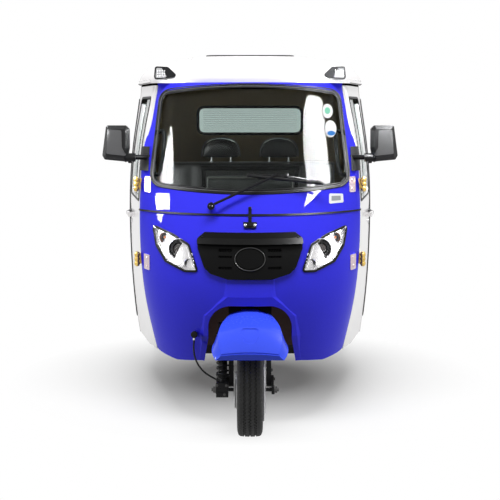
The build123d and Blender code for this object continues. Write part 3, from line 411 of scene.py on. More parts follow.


# its near black inside colour is painted shade on the inner faces of the nose and windscreen frame
BLUE = Finish("blue_enamel", (0.036, 0.034, 0.84), rough=0.30, depth=0.08, scale=3.0, coat=0.25,
              coat_rough=0.02, specular=0.0, dust=0.05, dust_height=0.40, inside=(0.010, 0.010, 0.012))
GUARD_BLUE = Finish("guard_enamel", (0.040, 0.085, 0.86), rough=0.26, depth=0.06, scale=3.0, coat=0.25,
                    coat_rough=0.05, specular=0.05)
# its near black inside colour is painted shade on the inner faces of the sides, quarters, doors and engine
# lid
WHITE = Finish("white_enamel", (0.82, 0.80, 0.805), rough=0.34, depth=0.03, scale=3.0, coat=0.6,
               coat_rough=0.06, dust=0.25, dust_height=0.45, inside=(0.022, 0.020, 0.016))
TAIL_WHITE = replace(WHITE, name="tail_enamel", inside=(0.34, 0.26, 0.16))
# its near black inside colour is painted shade under the roof
ROOF_WHITE = Finish("roof_enamel", (0.84, 0.82, 0.825), rough=0.36, depth=0.03, scale=3.0, coat=0.5,
                    coat_rough=0.07, inside=(0.010, 0.009, 0.008))
RUBBER = Finish("black_rubber", (0.008, 0.008, 0.009), rough=0.42, depth=0.2, grain=0.2, grain_scale=900.0,
                specular=0.12)
PLASTIC = Finish("moulded_black", (0.010, 0.010, 0.011), rough=0.48, depth=0.15, grain=0.35,
                 grain_scale=1400.0, grain_depth=0.0003, specular=0.12)
GRILLE_BLACK = Finish("grille_black", (0.006, 0.006, 0.006), rough=0.34, depth=0.15, grain=0.25,
                      grain_scale=1600.0, grain_depth=0.0002, specular=0.06)
DARK_CHROME = Finish("dark_chrome", (0.10, 0.10, 0.10), rough=0.22, metallic=1.0, depth=0.1)
GLOSS_BLACK = Finish("gloss_black", (0.006, 0.006, 0.007), rough=0.12, depth=0.1, coat=0.5, specular=0.2)
SATIN_BLACK = Finish("satin_black", (0.009, 0.009, 0.010), rough=0.34, depth=0.2, grain=0.1,
                     grain_scale=700.0, specular=0.15)
GREY_PLASTIC = Finish("mirror_plastic", (0.014, 0.014, 0.015), rough=0.34, depth=0.2, grain=0.3,
                      grain_scale=1500.0, grain_depth=0.0003, specular=0.18)
MIRROR_GREY = Finish("mirror_back_panel", (0.085, 0.085, 0.088), rough=0.34, depth=0.12, grain=0.3,
                     grain_scale=1500.0, grain_depth=0.0003, coat=0.3)
STEEL = Finish("black_chassis_paint", (0.010, 0.010, 0.011), rough=0.40, depth=0.3, dust=0.4,
               dust_height=0.55, grain=0.1, grain_scale=250.0, specular=0.12)
PRIMER = Finish("red_brown_primer", (0.050, 0.013, 0.010), rough=0.55, depth=0.3, dust=0.3, dust_height=0.6,
                specular=0.2, inside=(0.014, 0.014, 0.014))
ALUMINIUM = Finish("cast_aluminium", (0.46, 0.46, 0.47), rough=0.45, metallic=0.9, depth=0.25, scale=20.0,
                   grain=0.4, grain_scale=500.0, grain_depth=0.0006)
CAST_IRON = Finish("cast_iron", (0.10, 0.098, 0.096), rough=0.6, metallic=0.6, depth=0.4, scale=25.0,
                   grain=0.5, grain_scale=450.0, grain_depth=0.0006)
SATIN_SILVER = Finish("satin_silver", (0.60, 0.60, 0.61), rough=0.28, metallic=1.0, depth=0.1, scale=30.0)
ZINC = Finish("zinc_plate", (0.62, 0.50, 0.55), rough=0.25, metallic=0.9, depth=0.35, scale=40.0,
              drift=0.15)
CHROME = Finish("lamp_reflector", (0.27, 0.245, 0.24), rough=0.16, metallic=1.0, depth=0.8, scale=90.0)
GOLD = Finish("gold_passivated", (0.72, 0.50, 0.14), rough=0.30, metallic=0.95, depth=0.5, scale=45.0,
              drift=0.2)
TYRE = Finish("tyre_rubber", (0.012, 0.010, 0.008), rough=0.70, depth=0.35, scale=12.0, dust=0.06,
              dust_height=0.45, grain=0.5, grain_scale=700.0, specular=0.05)
RIM = Finish("silver_rim", (0.66, 0.66, 0.67), rough=0.34, metallic=0.35, depth=0.1, coat=0.5, dust=0.3,
             dust_height=0.45)
VINYL = Finish("seat_vinyl", (0.010, 0.010, 0.011), rough=0.40, depth=0.2, grain=0.6, grain_scale=700.0,
               grain_depth=0.0006, specular=0.2)
PIPING = Finish("seat_piping", (0.22, 0.21, 0.20), rough=0.42, depth=0.1, grain=0.3, grain_scale=900.0)
TRIM = Finish("beige_trim", (0.40, 0.31, 0.20), rough=0.6, depth=0.15, grain=0.5, grain_scale=600.0,
              specular=0.05)
REAR_GLASS = Finish("tinted_glass", (0.42, 0.50, 0.48), rough=0.0, depth=0.0, drift=0.0, transmission=1.0,
                    ior=1.15)
GLASS = replace(REAR_GLASS, name="window_glass", colour=(0.86, 0.96, 0.93), ior=1.25)
SCREEN = replace(REAR_GLASS, name="windscreen_glass", colour=(0.84, 0.89, 0.87))
LENS = replace(REAR_GLASS, name="clear_lens", colour=(0.88, 0.875, 0.87), rough=0.02, ior=1.18)
DARK_GLASS = Finish("projector_glass", (0.045, 0.035, 0.035), rough=0.05, depth=0.4, scale=60.0, coat=1.0)
AMBER = Finish("amber_plastic", (0.72, 0.20, 0.035), rough=0.16, depth=0.15, scale=60.0, coat=0.8)
MARKER_LENS = Finish("marker_lens", (0.60, 0.60, 0.61), rough=0.12, depth=0.25, scale=80.0, coat=1.0,
                     metallic=0.5)
MIRROR = Finish("mirror_silver", (0.86, 0.87, 0.88), rough=0.02, metallic=1.0, depth=0.02, drift=0.01)
RED_LENS = Finish("red_lens", (0.55, 0.01, 0.01), rough=0.12, depth=0.1, coat=1.0)
LABEL_WHITE = Finish("label_white", (0.84, 0.85, 0.85), rough=0.42, depth=0.03, specular=0.0)
LABEL_GREY = replace(LABEL_WHITE, name="label_grey", colour=(0.34, 0.36, 0.38), depth=0.05)
LABEL_GREEN = replace(LABEL_WHITE, name="label_green", colour=(0.22, 0.58, 0.42), depth=0.08)
LABEL_BLUE = replace(LABEL_GREEN, name="label_blue", colour=(0.05, 0.22, 0.62))
# matt pale grey with almost no specular: a painted highlight along the screen seal's filler strip
FILLER_HIGHLIGHT_GREY = Finish("filler_strip", (0.20, 0.20, 0.205), rough=0.50, depth=0.12, specular=0.05)
DECAL_BLACK = Finish("decal_black", (0.008, 0.009, 0.016), rough=0.22, depth=0.1, coat=0.3)

FINISHED_NODES: tuple[tuple[Finish, str], ...] = (
    (BLUE, "nose_panel windscreen_frame"),
    (GUARD_BLUE, "mudguard"),
    (ROOF_WHITE, "roof_shell"),
    (WHITE, "side_frame_left side_frame_right rear_quarter_left rear_quarter_right engine_lid "
            "door_panel_left door_panel_right"),
    (TAIL_WHITE, "rear_wall"),
    (GRILLE_BLACK, "grille_panel"),
    (RUBBER, "bonnet_latch mudflaps windscreen_seal seam_bead brake_hose"),
    (SATIN_BLACK, "wiper partition_frame fork front_link handlebar"),
    (GREY_PLASTIC, "mirror_cases"),
    (PLASTIC, "dashboard marker_lamps roof_vent tail_lamps"),
    (CHROME, "headlamp_bowls"),
    (LENS, "headlamp_lenses"),
    (SCREEN, "windscreen_glass"),
    (REAR_GLASS, "rear_window"),
    (GLASS, "door_glass_left door_glass_right"),
    (MIRROR, "mirror_glasses"),
    (PRIMER, "floor_pan toe_board"),
    (STEEL, "driver_seat_base chassis_rails crossmembers deck_posts rear_suspension rear_bumper exhaust"),
    (ALUMINIUM, "engine_block"),
    (TRIM, "bench_panel"),
    (VINYL, "driver_cushion driver_backrest bench_cushion bench_backrest headrests"),
    (TYRE, "front_tyre rear_tyre_left rear_tyre_right"),
    (RIM, "front_rim rear_rim_left rear_rim_right"),
    (GOLD, "door_hinges_left door_hinges_right"),
)


def dress_cad_nodes() -> None:
    """Give every carried over CAD node its finish."""
    finishes = {name: finish for finish, names in FINISHED_NODES for name in names.split()}
    for name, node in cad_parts.items():
        node.data.materials.clear()
        node.data.materials.append(finishes[name].material())


# ---------------------------------------------------------------- mesh making


class Surface:
    """Faces of some CAD nodes, for setting other pieces on them."""

    def __init__(self, *names: str) -> None:
        """Read the nodes' faces into one search tree.

        Args:
            names: the nodes.
        """
        build = bmesh.new()
        for name in names:
            build.from_mesh(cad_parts[name].data)
        self.tree = BVHTree.FromBMesh(build)
        build.free()

    def hit(self, start: Sequence[float], direction: Sequence[float]) -> Spot:
        """First face met by a ray, or the nearest one where the ray meets none.

        Args:
            start: where the ray starts.
            direction: which way it runs.

        Returns:
            The place on the face and the normal that looks back along the ray.
        """
        ray = Vector(direction).normalized()
        place, normal, _, _ = self.tree.ray_cast(Vector(start), ray)
        if place is None:
            place, normal, _, _ = self.tree.find_nearest(Vector(start) + ray * 2.0)
        return place, -normal if normal.dot(ray) > 0 else normal

    def front(self, x: float, z: float) -> Spot:
        """Face seen from in front of the nose at x and z."""
        return self.hit((x, -3.0, z), BACK)

    def beside(self, side: Side, y: float, z: float) -> Spot:
        """Face seen from one side at y and z."""
        return self.hit((side.value * 2.0, y, z), (-side.value, 0.0, 0.0))

    def within(self, side: Side, y: float, z: float) -> Spot:
        """Face seen from the middle of the cab towards one side at y and z."""
        return self.hit((0.0, y, z), side.out)

    def behind(self, x: float, z: float) -> Spot:
        """Face seen from behind the tail at x and z."""
        return self.hit((x, 3.0, z), AHEAD)


def link(name: str, data: bpy.types.ID) -> bpy.types.Object:
    """Put a mesh, curve, lamp or camera in the scene.

    Args:
        name: the object's name.
        data: what it shows.

    Returns:
        The new object.
    """
    made = bpy.data.objects.new(name, data)
    bpy.context.collection.objects.link(made)
    return made


def as_mesh(build: Build, name: str) -> bpy.types.Mesh:
    """Turn a build into a mesh with its normals outwards.

    Args:
        build: the build, freed here.
        name: the mesh's name.

    Returns:
        The mesh.
    """
    bmesh.ops.recalc_face_normals(build, faces=build.faces)
    mesh = bpy.data.meshes.new(name)
    build.to_mesh(mesh)
    build.free()
    return mesh


def add_piece(name: str, build: Build, finish: Finish, body: str = "chassis", sharp: float = 35.0,
              replaces: Sequence[str] = ()) -> bpy.types.Object:
    """Turn a built mesh into a finished piece that rides on a body.

    Args:
        name: the piece's name.
        build: its mesh, freed here.
        finish: its material.
        body: the body that it moves with.
        sharp: edges that turn by more degrees stay sharp.
        replaces: CAD nodes that it stands for.

    Returns:
        The new object.
    """
    mesh = as_mesh(build, name)
    mesh.shade_smooth()
    mesh.set_sharp_from_angle(angle=math.radians(sharp))
    mesh.materials.append(finish.material())
    piece = link(name, mesh)
    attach(piece, body)
    if replaces:
        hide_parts(*replaces)
    LOG.info("%s: %d faces", name, len(mesh.polygons))
    return piece


def facing(place: Sequence[float], normal: Sequence[float]) -> Matrix:
    """Matrix that takes the origin to a place and +Z to a normal."""
    turn = Vector(normal).to_track_quat("Z", "Y").to_matrix().to_4x4()
    return Matrix.Translation(Vector(place)) @ turn


def skin_rings(build: Build, rings: Sequence[Sequence[Vector]], closed: bool = True,
               capped: bool = True, joined: bool = False) -> None:
    """Faces between like rings of points.

    Args:
        build: the mesh to add to.
        rings: rings with as many points each.
        closed: whether each ring closes on itself.
        capped: whether the first and last rings get a face.
        joined: whether the last ring joins the first.
    """
    made = [[build.verts.new(point) for point in ring] for ring in rings]
    pairs = list(zip(made, made[1:]))
    if joined:
        pairs.append((made[-1], made[0]))
    count = len(made[0])
    for low, high in pairs:
        for index in range(count if closed else count - 1):
            after = (index + 1) % count
            build.faces.new((low[index], low[after], high[after], high[index]))
    if capped and closed and not joined:
        build.faces.new(list(reversed(made[0])))
        build.faces.new(made[-1])


def spoke(reach: float, turn: float, height: float = 0.0) -> Vector:
    """Place at a reach and a turn round +Z."""
    return Vector((reach * math.cos(turn), reach * math.sin(turn), height))


def arc(height: float, rise: float, radius: float, reach: float, degrees: Sequence[float]) -> list[Flat]:
    """Round or oval stretch of a profile for lathe.

    Args:
        height: height of its middle.
        rise: half its height.
        radius: radius at its middle.
        reach: half its width.
        degrees: turn of each point.

    Returns:
        The height and radius of each point.
    """
    turns = [math.radians(deg) for deg in degrees]
    return [(height + rise * math.sin(turn), radius + reach * math.cos(turn)) for turn in turns]


def lathe(build: Build, profile: Loop, at: Matrix, sides: int = 32,
          capped: bool = True) -> None:
    """Turn a profile about a matrix's +Z.

    Args:
        build: the mesh to add to.
        profile: height and radius of each ring.
        at: where +Z and the origin go.
        sides: points round each ring.
        capped: whether the end rings get a face.
    """
    turns = [math.tau * index / sides for index in range(sides)]
    rings = [[at @ spoke(radius, turn, height) for turn in turns] for height, radius in profile]
    skin_rings(build, rings, capped=capped)


def tube(build: Build, path: Sequence[Vector], radius: float | Sequence[float], sides: int = 10,
         flat: float = 1.0) -> None:
    """Round or flattened bar along a path.

    Args:
        build: the mesh to add to.
        path: points along its middle.
        radius: one radius, or one for each point.
        sides: points round the bar.
        flat: height over width of the section.
    """
    points = [Vector(point) for point in path]
    radii = [radius] * len(points) if isinstance(radius, float) else list(radius)
    rings = []
    across = None
    for index, point in enumerate(points):
        along = (points[min(index + 1, len(points) - 1)] - points[max(index - 1, 0)]).normalized()
        if across is None:
            across = along.orthogonal().normalized()
            if abs(along.z) < 0.9:
                across = along.cross(UP).normalized()
        across = (across - along * across.dot(along)).normalized()
        up = along.cross(across)
        rings.append([point + (across * math.cos(math.tau * step / sides) +
                               up * flat * math.sin(math.tau * step / sides)) * radii[index]
                      for step in range(sides)])
    skin_rings(build, rings)


def bead(build: Build, places: Sequence[Spot], width: float | Sequence[float],
         height: float, closed: bool = True, sink: float = 0.001) -> None:
    """Domed strip laid on a surface.

    Args:
        build: the mesh to add to.
        places: points of its middle line with their normals.
        width: one width, or one for each point.
        height: how proud of the surface its crest is.
        closed: whether the strip closes on itself.
        sink: how far its feet go below the surface.
    """
    widths = [width] * len(places) if isinstance(width, float) else list(width)
    section = ((-0.5, -sink), (-0.46, height * 0.6), (-0.25, height), (0.25, height), (0.46, height * 0.6),
               (0.5, -sink))
    count = len(places)
    rings = []
    for index, (place, normal) in enumerate(places):
        before = places[(index - 1) % count if closed else max(index - 1, 0)][0]
        after = places[(index + 1) % count if closed else min(index + 1, count - 1)][0]
        across = (after - before).cross(normal).normalized()
        rings.append([place + across * share * widths[index] + normal * rise for share, rise in section])
    skin_rings(build, rings, joined=closed)


def patch(build: Build, outline: Loop, cast: Callable, rise: float,
          thickness: float, rings: int = 6) -> None:
    """Thin plate with a star shaped outline, laid on a surface.

    Args:
        build: the mesh to add to.
        outline: flat points round it.
        cast: gives the place and normal under a flat point.
        rise: its back's height over the surface.
        thickness: its own thickness.
        rings: rings from the middle to the edge.
    """
    count = len(outline)
    mid_a, mid_b = sum(a for a, b in outline) / count, sum(b for a, b in outline) / count
    layers = []
    for share in [(index + 1) / rings for index in range(rings)]:
        ring = [cast(mid_a + (a - mid_a) * share, mid_b + (b - mid_b) * share) for a, b in outline]
        layers.append([place + normal * (rise + thickness) for place, normal in ring])
        last = [place + normal * rise for place, normal in ring]
    rings_made = layers + [last] if thickness else layers
    skin_rings(build, rings_made, capped=False)
    place, normal = cast(mid_a, mid_b)
    start = len(build.verts) - count * len(rings_made)
    hub = build.verts.new(place + normal * (rise + thickness))
    build.verts.ensure_lookup_table()
    for index in range(count):
        build.faces.new((build.verts[start + index], build.verts[start + (index + 1) % count], hub))


def rounded_loop(points: Loop, radius: float, step: float = 0.02,
                 arc_points: int = 6) -> list[Flat]:
    """Flat closed outline with rounded corners, in short steps.

    Args:
        points: the corners.
        radius: the corners' radius.
        step: greatest length of a straight step.
        arc_points: points on each corner's arc.

    Returns:
        The outline's points.
    """
    corners = [Vector(point).to_2d() for point in points]
    loop: list[Vector] = []
    for index, corner in enumerate(corners):
        back = (corners[index - 1] - corner)
        ahead = (corners[(index + 1) % len(corners)] - corner)
        half = back.angle(ahead) / 2
        reach = min(radius / math.tan(half), back.length * 0.48, ahead.length * 0.48)
        start = corner + back.normalized() * reach
        end = corner + ahead.normalized() * reach
        for turn in range(arc_points):
            share = turn / (arc_points - 1)
            loop.append(start * (1 - share) ** 2 + corner * 2 * share * (1 - share) + end * share ** 2)
    fine: list[Flat] = []
    for here, after in zip(loop, loop[1:] + loop[:1]):
        steps = max(1, math.ceil((after - here).length / step))
        fine.extend(tuple(here.lerp(after, share / steps)) for share in range(steps))
    return fine


def ellipse_loop(middle: Flat, half_width: float, half_height: float,
                 count: int = 40) -> list[Flat]:
    """Points round an ellipse.

    Args:
        middle: its middle.
        half_width: half its width.
        half_height: half its height.
        count: how many points.

    Returns:
        The points in order.
    """
    x, z = middle
    turns = [math.tau * index / count for index in range(count)]
    return [(x + half_width * math.cos(turn), z + half_height * math.sin(turn)) for turn in turns]


def screw_head(build: Build, place: Vector, normal: Vector, radius: float, hexagon: bool = True) -> None:
    """Washer with a bolt head or a domed screw on it.

    Args:
        build: the mesh to add to.
        place: the seat's middle.
        normal: which way the head looks.
        radius: the washer's radius.
        hexagon: True for a bolt, False for a domed screw.
    """
    at = facing(place, normal)
    thin = radius * 0.18
    lathe(build, ((-thin, radius), (thin * 0.7, radius), (thin, radius * 0.94)), at, 20)
    if hexagon:
        top = radius * 0.62
        lathe(build, ((thin, radius * 0.72), (top, radius * 0.72), (top + thin * 0.5, radius * 0.62)), at, 6)
    else:
        lathe(build, arc(thin, radius * 0.4, 0.0, radius * 0.78, (0, 25, 50, 75)), at, 16)


def coil(build: Build, start: Sequence[float], end: Sequence[float], radius: float, wire: float,
         turns: float) -> None:
    """Coil spring between two seats.

    Args:
        build: the mesh to add to.
        start: middle of the lower seat.
        end: middle of the upper seat.
        radius: radius at the wire's middle.
        wire: the wire's radius.
        turns: how many turns.
    """
    low, high = Vector(start), Vector(end)
    at = facing(low, high - low)
    length = (high - low).length
    count = int(turns * 20)
    path = [at @ spoke(radius, math.tau * turns * step / count, length * step / count)
            for step in range(count + 1)]
    tube(build, path, wire, 8)


def shrink(loop: Loop, distance: float) -> list[Flat]:
    """Flat closed outline moved inwards.

    Args:
        loop: the outline's points.
        distance: how far; outwards where it is negative.

    Returns:
        The moved points.
    """
    points = [Vector(point) for point in loop]
    area = sum(a.x * b.y - b.x * a.y for a, b in zip(points, points[1:] + points[:1]))
    turn = 1.0 if area > 0 else -1.0
    moved = []
    for index, point in enumerate(points):
        along = (points[(index + 1) % len(points)] - points[index - 1]).normalized()
        inward = Vector((-along.y, along.x)) * turn
        moved.append(tuple(point + inward * distance))
    return moved


def on_side(points: Loop, side: Side) -> list[Flat]:
    """Flat points of the left side, or the same mirrored to the right."""
    return [(side.value * x, z) for x, z in points]


def block(build: Build, size: Sequence[float], at: Matrix, bevel: float, segments: int = 2) -> None:
    """Box with rounded edges.

    Args:
        build: the mesh to add to.
        size: its three sizes.
        at: where its middle and its axes go.
        bevel: radius of its edges.
        segments: steps in each rounded edge.
    """
    cube = bmesh.new()
    bmesh.ops.create_cube(cube, size=1.0, matrix=Matrix.Diagonal((*size, 1.0)))
    bmesh.ops.bevel(cube, geom=cube.edges[:], offset=bevel, segments=segments, affect="EDGES", profile=0.5)
    cube.transform(at)
    mesh = bpy.data.meshes.new("block")
    cube.to_mesh(mesh)
    cube.free()
    build.from_mesh(mesh)
    bpy.data.meshes.remove(mesh)


def prism(build: Build, loop: Loop, front_y: float, rear_y: float) -> None:
    """Solid from an outline of x and z between two planes square to Y."""
    skin_rings(build, [[Vector((x, y, z)) for x, z in loop] for y in (front_y, rear_y)])


def smooth_path(points: Sequence[Sequence[float]], steps: int = 6) -> list[Vector]:
    """Curve that runs through points.

    Args:
        points: the points.
        steps: steps between each two.

    Returns:
        The curve's points.
    """
    knots = [Vector(point) for point in points]
    knots = [knots[0] * 2 - knots[1]] + knots + [knots[-1] * 2 - knots[-2]]
    path = []
    for a, b, c, d in zip(knots, knots[1:], knots[2:], knots[3:]):
        for step in range(steps):
            t = step / steps
            path.append((b * 2 + (c - a) * t + (a * 2 - b * 5 + c * 4 - d) * t * t +
                         (b * 3 - a - c * 3 + d) * t * t * t) / 2)
    path.append(knots[-2])
    return path


# ---------------------------------------------------------------- nose and windscreen

NOSE = Surface("nose_panel", "windscreen_frame", "headlamp_bowls", "headlamp_lenses", "windscreen_seal")
SCREEN_EDGE = Surface("windscreen_frame", "windscreen_seal", "windscreen_glass")
BOWLS = Surface("headlamp_bowls")
GRILLE_FACE = Surface("grille_panel")
LATCH_FACE = Surface("bonnet_latch")


class Pane:
    """Smoothly bowed face fitted to the edges of the plain windscreen."""

    def __init__(self, half: float, middle: Flat, edge: Flat) -> None:
        """Work out the face from its middle line and its edges.

        Args:
            half: x of the edges.
            middle: lower and upper height at which the middle line is read.
            edge: lower and upper height at which the edges are read.
        """
        plain = Surface("windscreen_glass")
        self.half = half
        self.middle = [(z, plain.front(0.0, z)[0].y) for z in middle]
        self.edge = [(z, (plain.front(-half, z)[0].y + plain.front(half, z)[0].y) / 2) for z in edge]

    @staticmethod
    def along(line: Loop, z: float) -> float:
        """Depth at a height on the straight line through two places."""
        (z0, y0), (z1, y1) = line
        return y0 + (y1 - y0) * (z - z0) / (z1 - z0)

    def depth(self, x: float, z: float) -> float:
        """The face's y at x and z."""
        middle = self.along(self.middle, z)
        return middle + (self.along(self.edge, z) - middle) * (x / self.half) ** 2

    def front(self, x: float, z: float) -> Spot:
        """Place and normal on the face.

        Args:
            x: the place's x.
            z: its z.

        Returns:
            The place and its normal.
        """
        gap = 0.004
        lean_x = (self.depth(x + gap, z) - self.depth(x - gap, z)) / (2.0 * gap)
        lean_z = (self.depth(x, z + gap) - self.depth(x, z - gap)) / (2.0 * gap)
        return Vector((x, self.depth(x, z), z)), Vector((lean_x, -1.0, lean_z)).normalized()


PANE = Pane(0.400, (1.100, 1.540), (1.150, 1.500))


@dataclass
class Headlamp:
    """Gasket, bezel, fluted reflectors, projector and bulbs of one headlamp."""

    side: Side
    edge: tuple = ((0.232, 0.719), (0.276, 0.838), (0.351, 0.878), (0.458, 0.912), (0.438, 0.819),
                   (0.390, 0.752), (0.295, 0.716))
    facet_rows: tuple = (((0.247, 0.735), (0.262, 0.806)), ((0.300, 0.740), (0.276, 0.765)),
                         ((0.352, 0.868), (0.378, 0.880)), ((0.372, 0.768), (0.404, 0.812)),
                         ((0.416, 0.830), (0.436, 0.880)), ((0.424, 0.890), (0.446, 0.900)))
    dishes: tuple = ((0.324, 0.812, 0.048, 0.040), (0.392, 0.856, 0.027, 0.026), (0.277, 0.752, 0.022, 0.020))
    taper: float = 0.6
    rim: float = 0.0016
    flute: float = 0.0014
    flutes_round: int = 36
    facet_steps: int = 6
    facet: tuple = ((-0.002, 0.0046), (0.0012, 0.0042), (0.0028, 0.0028), (0.0034, 0.0006))
    projector_ring: tuple = ((-0.020, 0.0292), (-0.0125, 0.0292), (-0.0105, 0.0275), (-0.0112, 0.0245),
                             (-0.016, 0.0238))

    def build(self) -> None:
        """Make all the lamp's pieces."""
        word = self.side.word
        loop = rounded_loop(on_side(self.edge, self.side), 0.015, 0.009)
        gasket = bmesh.new()
        bead(gasket, [NOSE.front(x, z) for x, z in shrink(loop, 0.0035)], 0.011, 0.0022)
        add_piece("lamp_gasket_" + word, gasket, RUBBER)
        bezel = bmesh.new()
        bead(bezel, [BOWLS.front(x, z) for x, z in shrink(loop, 0.0145)], 0.006, 0.0035)
        for x, z, radius, depth in self.dishes:
            self.dish(bezel, self.mouth(x, z), radius, depth)
        add_piece("lamp_reflectors_" + word, bezel, CHROME, sharp=12.0)
        self.flutes()
        self.projector()
        self.bulbs()

    def mouth(self, x: float, z: float) -> Matrix:
        """Matrix at the mouth of the reflector whose left twin is at x and z, +Z looking ahead."""
        place, _ = NOSE.front(self.side.value * x, z)
        return facing(place + Vector((0.0, 0.012, 0.0)), AHEAD)

    def dish(self, build: Build, at: Matrix, radius: float, depth: float) -> None:
        """Rolled rim and fluted cone of one reflector.

        Args:
            build: the mesh to add to.
            at: its mouth.
            radius: the mouth's radius.
            depth: how deep it goes.
        """
        lathe(build, arc(0.0, self.rim, radius, self.rim, range(-60, 241, 50)), at, 40, capped=False)
        steps = 6
        rings = []
        count = self.flutes_round
        for step in range(steps + 1):
            sink = depth * 0.96 * step / steps
            reach = radius - self.taper * sink - self.rim / 2
            rings.append([at @ spoke(reach - self.flute * (index % 2), math.tau * index / count, -sink)
                          for index in range(count)])
        skin_rings(build, rings, capped=False)

    def flutes(self) -> None:
        """Stepped facets on the reflector plate between the bowls."""
        build = bmesh.new()
        for (x0, z0), (x1, z1) in self.facet_rows:
            for step in range(self.facet_steps):
                share = step / (self.facet_steps - 1)
                x, z = x0 + (x1 - x0) * share, z0 + (z1 - z0) * share
                lathe(build, self.facet, facing(*BOWLS.front(self.side.value * x, z)), 4)
        add_piece("lamp_facets_" + self.side.word, build, CHROME, sharp=8.0)

    def projector(self) -> None:
        """Dark bezel and thick lens of the main beam."""
        x, z, _, _ = self.dishes[0]
        at = self.mouth(x, z)
        ring = bmesh.new()
        lathe(ring, self.projector_ring, at, 40, capped=False)
        add_piece("lamp_bezel_" + self.side.word, ring, GLOSS_BLACK)
        dome = bmesh.new()
        lathe(dome, arc(-0.0155, 0.0125, 0.0, 0.0240, (0, 15, 30, 45, 60, 75, 88)), at, 40)
        add_piece("lamp_projector_" + self.side.word, dome, DARK_GLASS, sharp=60.0)

    def bulbs(self) -> None:
        """Indicator and side light bulbs in their sockets."""
        for name, dish, finish in (("indicator", 1, AMBER), ("sidelight", 2, LENS)):
            x, z, radius, depth = self.dishes[dish]
            at = self.mouth(x, z)
            socket = bmesh.new()
            lathe(socket, ((-depth, radius * 0.36), (-depth * 0.72, radius * 0.36),
                           (-depth * 0.66, radius * 0.30)), at, 24)
            add_piece(f"lamp_{name}_socket_{self.side.word}", socket, CHROME)
            bulb = bmesh.new()
            lathe(bulb, arc(-depth * 0.66, radius * 0.62, 0.0, radius * 0.33, (0, 20, 40, 60, 80)), at, 24)
            add_piece(f"lamp_{name}_{self.side.word}", bulb, finish, sharp=60.0)


@dataclass
class Grille:
    """Slot fins, screws and the blank badge on the grille."""

    badge: Flat = (0.0, 0.783)
    slots: tuple = ((0.812, 0.826), (0.787, 0.796), (0.737, 0.749))
    screws: tuple = ((0.217, 0.872), (0.196, 0.738))

    def build(self) -> None:
        """Make the trims."""
        ring = bmesh.new()
        loop = ellipse_loop(self.badge, 0.0672, 0.0492, 72)
        bead(ring, [GRILLE_FACE.front(x, z) for x, z in loop], 0.0028, 0.0012)
        add_piece("badge_ring", ring, DARK_CHROME, sharp=60.0)
        plate = bmesh.new()
        patch(plate, ellipse_loop(self.badge, 0.060, 0.042, 48), GRILLE_FACE.front, 0.0, 0.0018)
        add_piece("badge_blank", plate, GRILLE_BLACK)
        fins = bmesh.new()
        for low, high in self.slots:
            for side in Side:
                for index in range(8):
                    x = side.value * (0.084 + 0.0072 * index)
                    place, normal = GRILLE_FACE.front(x, (low + high) / 2)
                    at = facing(place, normal)
                    block(fins, (0.0016, high - low + 0.001, 0.010), at, 0.0005, 1)
        add_piece("grille_fins", fins, GRILLE_BLACK)
        heads = bmesh.new()
        for x, z in self.screws:
            for side in Side:
                screw_head(heads, *GRILLE_FACE.front(side.value * x, z), 0.0055, hexagon=False)
        add_piece("grille_screws", heads, GRILLE_BLACK)


